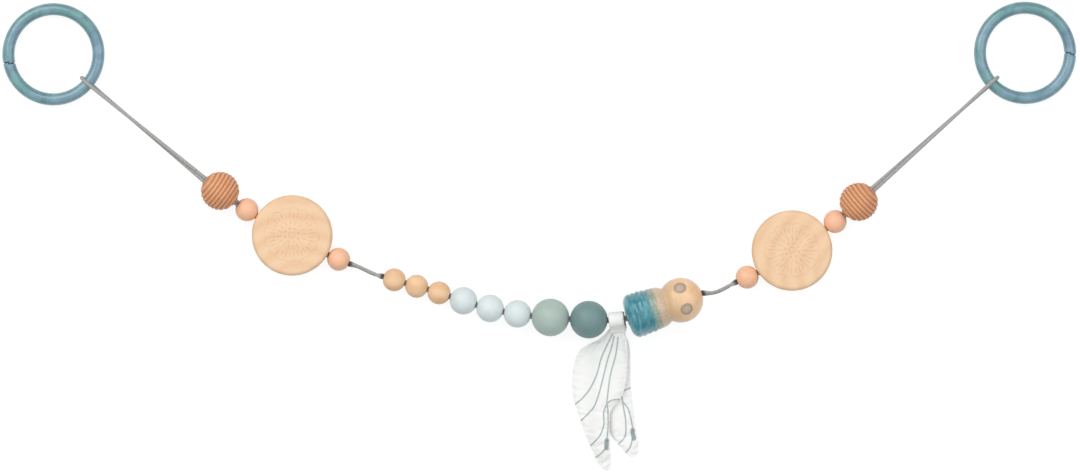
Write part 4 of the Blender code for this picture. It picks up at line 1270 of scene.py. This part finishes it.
def tape_sheet(path, place, seed, columns=18):
    """One layer of tape along a side-view path: points, flat points and faces, softly rippled."""
    verts, flats, faces = [], [], []
    rows, row = len(path), columns + 1
    for layer in (1, -1):
        run = 0.0
        for k, point in enumerate(path):
            before = path[max(k - 1, 0)]
            run += float(np.linalg.norm(point - before))
            way = path[min(k + 1, rows - 1)] - before
            out = np.array((-way[1], way[0])) / np.linalg.norm(way) * layer
            left, right = tab_edges(float(point @ PINCH_ALONG))
            drawn = 1 - 0.02 * (1 + sin(k * 0.31 + seed))
            for across in np.linspace(-1, 1, row):
                half = TAB_SHEET / 2 * sqrt(max(0.0, 1 - abs(across) ** 9)) + 0.02
                sideways = mixed(left, right, 0.5 + across * drawn / 2)
                ripple = 0.1 * noise.noise(Vector((across * 1.7, k * 0.13, seed)))
                flat = point + out * (half + layer * ripple)
                verts.append(place @ (Vector((sideways, *flat)) * MM))
                flats.append((sideways, run))
    sheet, end = range(row), rows * row
    around = [*sheet, *(end + c for c in reversed(sheet))]
    for k in range(0, end - row, row):
        for a, b in zip(around, around[1:] + around[:1]):
            faces.append((a + k, b + k, b + k + row, a + k + row))
    for k in (0, end - row):
        faces += [(k + c, k + c + end, k + c + end + 1, k + c + 1) for c in range(columns)]
    return verts, flats, faces


def make_tab(material):
    """The folded tape round the elastic, two layers thick, and the stitches over the wings' gathers."""
    place = axes_at("wings")
    for name, radius, upper_leg, lower_leg, seed, *nodes in TAB_LAYERS:
        verts, flats, faces = tape_sheet(tab_path(radius, upper_leg, lower_leg), place, seed)
        obj = new_object(name, verts, faces, material)
        lay_flat(obj, flats)
        subdivided(obj, 1)
        finish_piece(obj, "wings", "wing_cotton", *nodes)
    paths = []
    for number in range(STITCH_COUNT):
        points = []
        for t in evenly(8):
            offset = STITCH_OFFSET + TAB_SHEET / 2 + STITCH_RISE * sin(pi * t)
            y, z = PINCH_ALONG * (STITCH_LINE + 0.1 * (number % 2)) - PINCH_SQUARE * offset
            x = STITCH_START + STITCH_PITCH * number + STITCH_LENGTH * t
            points.append(place @ (Vector((x, y, z)) * MM))
        paths.append(points)
    finish_piece(tube_mesh(paths, "tab_stitches", material, 8, 0.14), "wings", "wing_cotton")


def make_cloth():
    printed = cotton("wing_cotton_look", COTTON, True)
    front = make_wing("front_wing_look", FRONT_OUTLINE, front_base, FRONT_VEINS, FRONT_SPOT,
                      printed, 72, 32, 1.7)
    crease = hinge_of("front_wing")
    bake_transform(front, "wings", "front_wing", start=(crease.x, crease.y + 0.0008, crease.z),
             end=(crease.x, crease.y - 0.004, crease.z))
    label_piece(front, "wing_cotton", "front_wing")
    back = make_wing("back_wing_look", BACK_OUTLINE, back_base, BACK_VEINS, BACK_SPOT, printed, 64, 24, 4.9)
    finish_piece(back, "wings", "wing_cotton", "back_wing")
    make_tab(cotton("tab_cotton_look", TAPE, False))


# Stage
def make_world():
    """A soft sky, brighter overhead than at the horizon, that the camera sees as white."""
    world = bpy.data.worlds.new("studio")
    bpy.context.scene.world = world
    n = Nodes(world, True)
    height = n.put("SeparateXYZ", {0: n.coords["Generated"]}, 2)
    sky = n.put("Background", {"Color": SKY, "Strength": n.range(height, 0.0, 1.0, 0.2, 0.94)})
    white = n.put("Background", {"Color": (1, 1, 1, 1)})
    seen = n.put("LightPath", {}, "Is Camera Ray")
    n.put("OutputWorld", {"Surface": n.put("MixShader", {0: seen, 1: sky, 2: white})})


def make_floor():
    """A white table: matt for light, and near to white for what the camera and the gloss see."""
    n = Nodes("floor_white", True)
    matt, pale = (n.put("BsdfDiffuse", {"Color": (level, level, level, 1)}) for level in (0.5, 0.22))
    glow = n.put("Emission", {"Strength": 0.86})
    path = n.put("LightPath", {}).node.outputs
    rays = path["Is Camera Ray"]
    for kind in ("Is Glossy Ray", "Is Transmission Ray"):
        rays = n.math("MAXIMUM", rays, path[kind])
    seen = n.put("AddShader", {0: pale, 1: glow})
    n.put("OutputMaterial", {"Surface": n.put("MixShader", {0: rays, 1: matt, 2: seen})})
    signs = ((-1, -1), (1, -1), (1, 1), (-1, 1))
    corners = [(x * FLOOR_REACH, y * FLOOR_REACH, FLOOR_LEVEL) for x, y in signs]
    new_object("floor", corners, [(0, 1, 2, 3)], n.owner, False)


def make_lamps():
    """A large soft main light from the upper left, and a weaker one from the right."""
    lamps = (("key", (-0.8, 0.95, 1.35), 1.5, 12.5), ("fill", (0.9, 0.3, 1.2), 1.2, 3))
    for name, place, size, power in lamps:
        data = bpy.data.lights.new(name, "AREA")
        data.shape = "DISK"
        data.size = size
        data.energy = power
        data.color = (1.0, 0.985, 0.96)
        lamp = linked(name, data)
        lamp.location = place
        lamp.rotation_mode = "QUATERNION"
        lamp.rotation_quaternion = (-Vector(place)).to_track_quat("-Z", "Y")


def make_camera():
    """Straight above, as the photograph was taken."""
    camera = bpy.data.cameras.new("camera")
    camera.sensor_width = 36
    camera.lens = 36 * (CAMERA_HEIGHT - FOCUS_HEIGHT) / (PHOTO_WIDTH_PX * PHOTO_MM_PER_PX)
    camera.clip_start, camera.clip_end = 0.1, 20
    obj = linked("camera", camera)
    obj.location = Vector((*PHOTO_MIDDLE, CAMERA_HEIGHT)) * MM
    obj.rotation_mode = "QUATERNION"
    bpy.context.scene.camera = obj


def make_turned_pieces():
    for number, place in enumerate(("left_outer", "left_inner", "right_inner", "right_outer"), 1):
        paint = painted_wood(f"peach_look_{number}", PEACH, number)
        make_bead(place + "_peach_bead", SMALL_BEAD_RADIUS, "peach", paint)
    for number in (1, 2, 3):
        wood = bare_wood(f"natural_wood_look_{number}", BEAD_WOOD, number * 3)
        make_bead(f"natural_bead_{number}", SMALL_BEAD_RADIUS, "natural_wood", wood)
        paint = painted_wood(f"pale_blue_look_{number}", PALE_BLUE, number + 7)
        make_bead(f"pale_bead_{number}", PALE_BEAD_RADIUS, "pale_blue", paint)
    for name, colour, seed in (("sage", SAGE, 12), ("teal", TEAL, 14)):
        make_bead(name + "_bead", LARGE_BEAD_RADIUS, name, painted_wood(name + "_look", colour, seed), 80)
    brown = grooved_wood("grooved_brown_look")
    disc_wood = bare_wood("disc_wood_look", DISC_WOOD, 3, 1.3, (0.2, 1.35, 0.5), rgb(204, 160, 116))
    plastic = ring_plastic("ring_blue_look")
    for side in ("left", "right"):
        make_bead(side + "_grooved_bead", GROOVED_BEAD_RADIUS, "grooved_brown", brown, 88, 150, True)
        make_disc(side + "_disc", disc_wood)
        make_ring(side + "_ring", plastic)
    make_figure()


def main():
    make_camera()
    make_turned_pieces()
    add_elastic(braided_elastic("elastic_grey_look"))
    make_cloth()
    make_world()
    make_floor()
    make_lamps()
    bpy.context.scene.view_settings.view_transform = "Standard"


main()
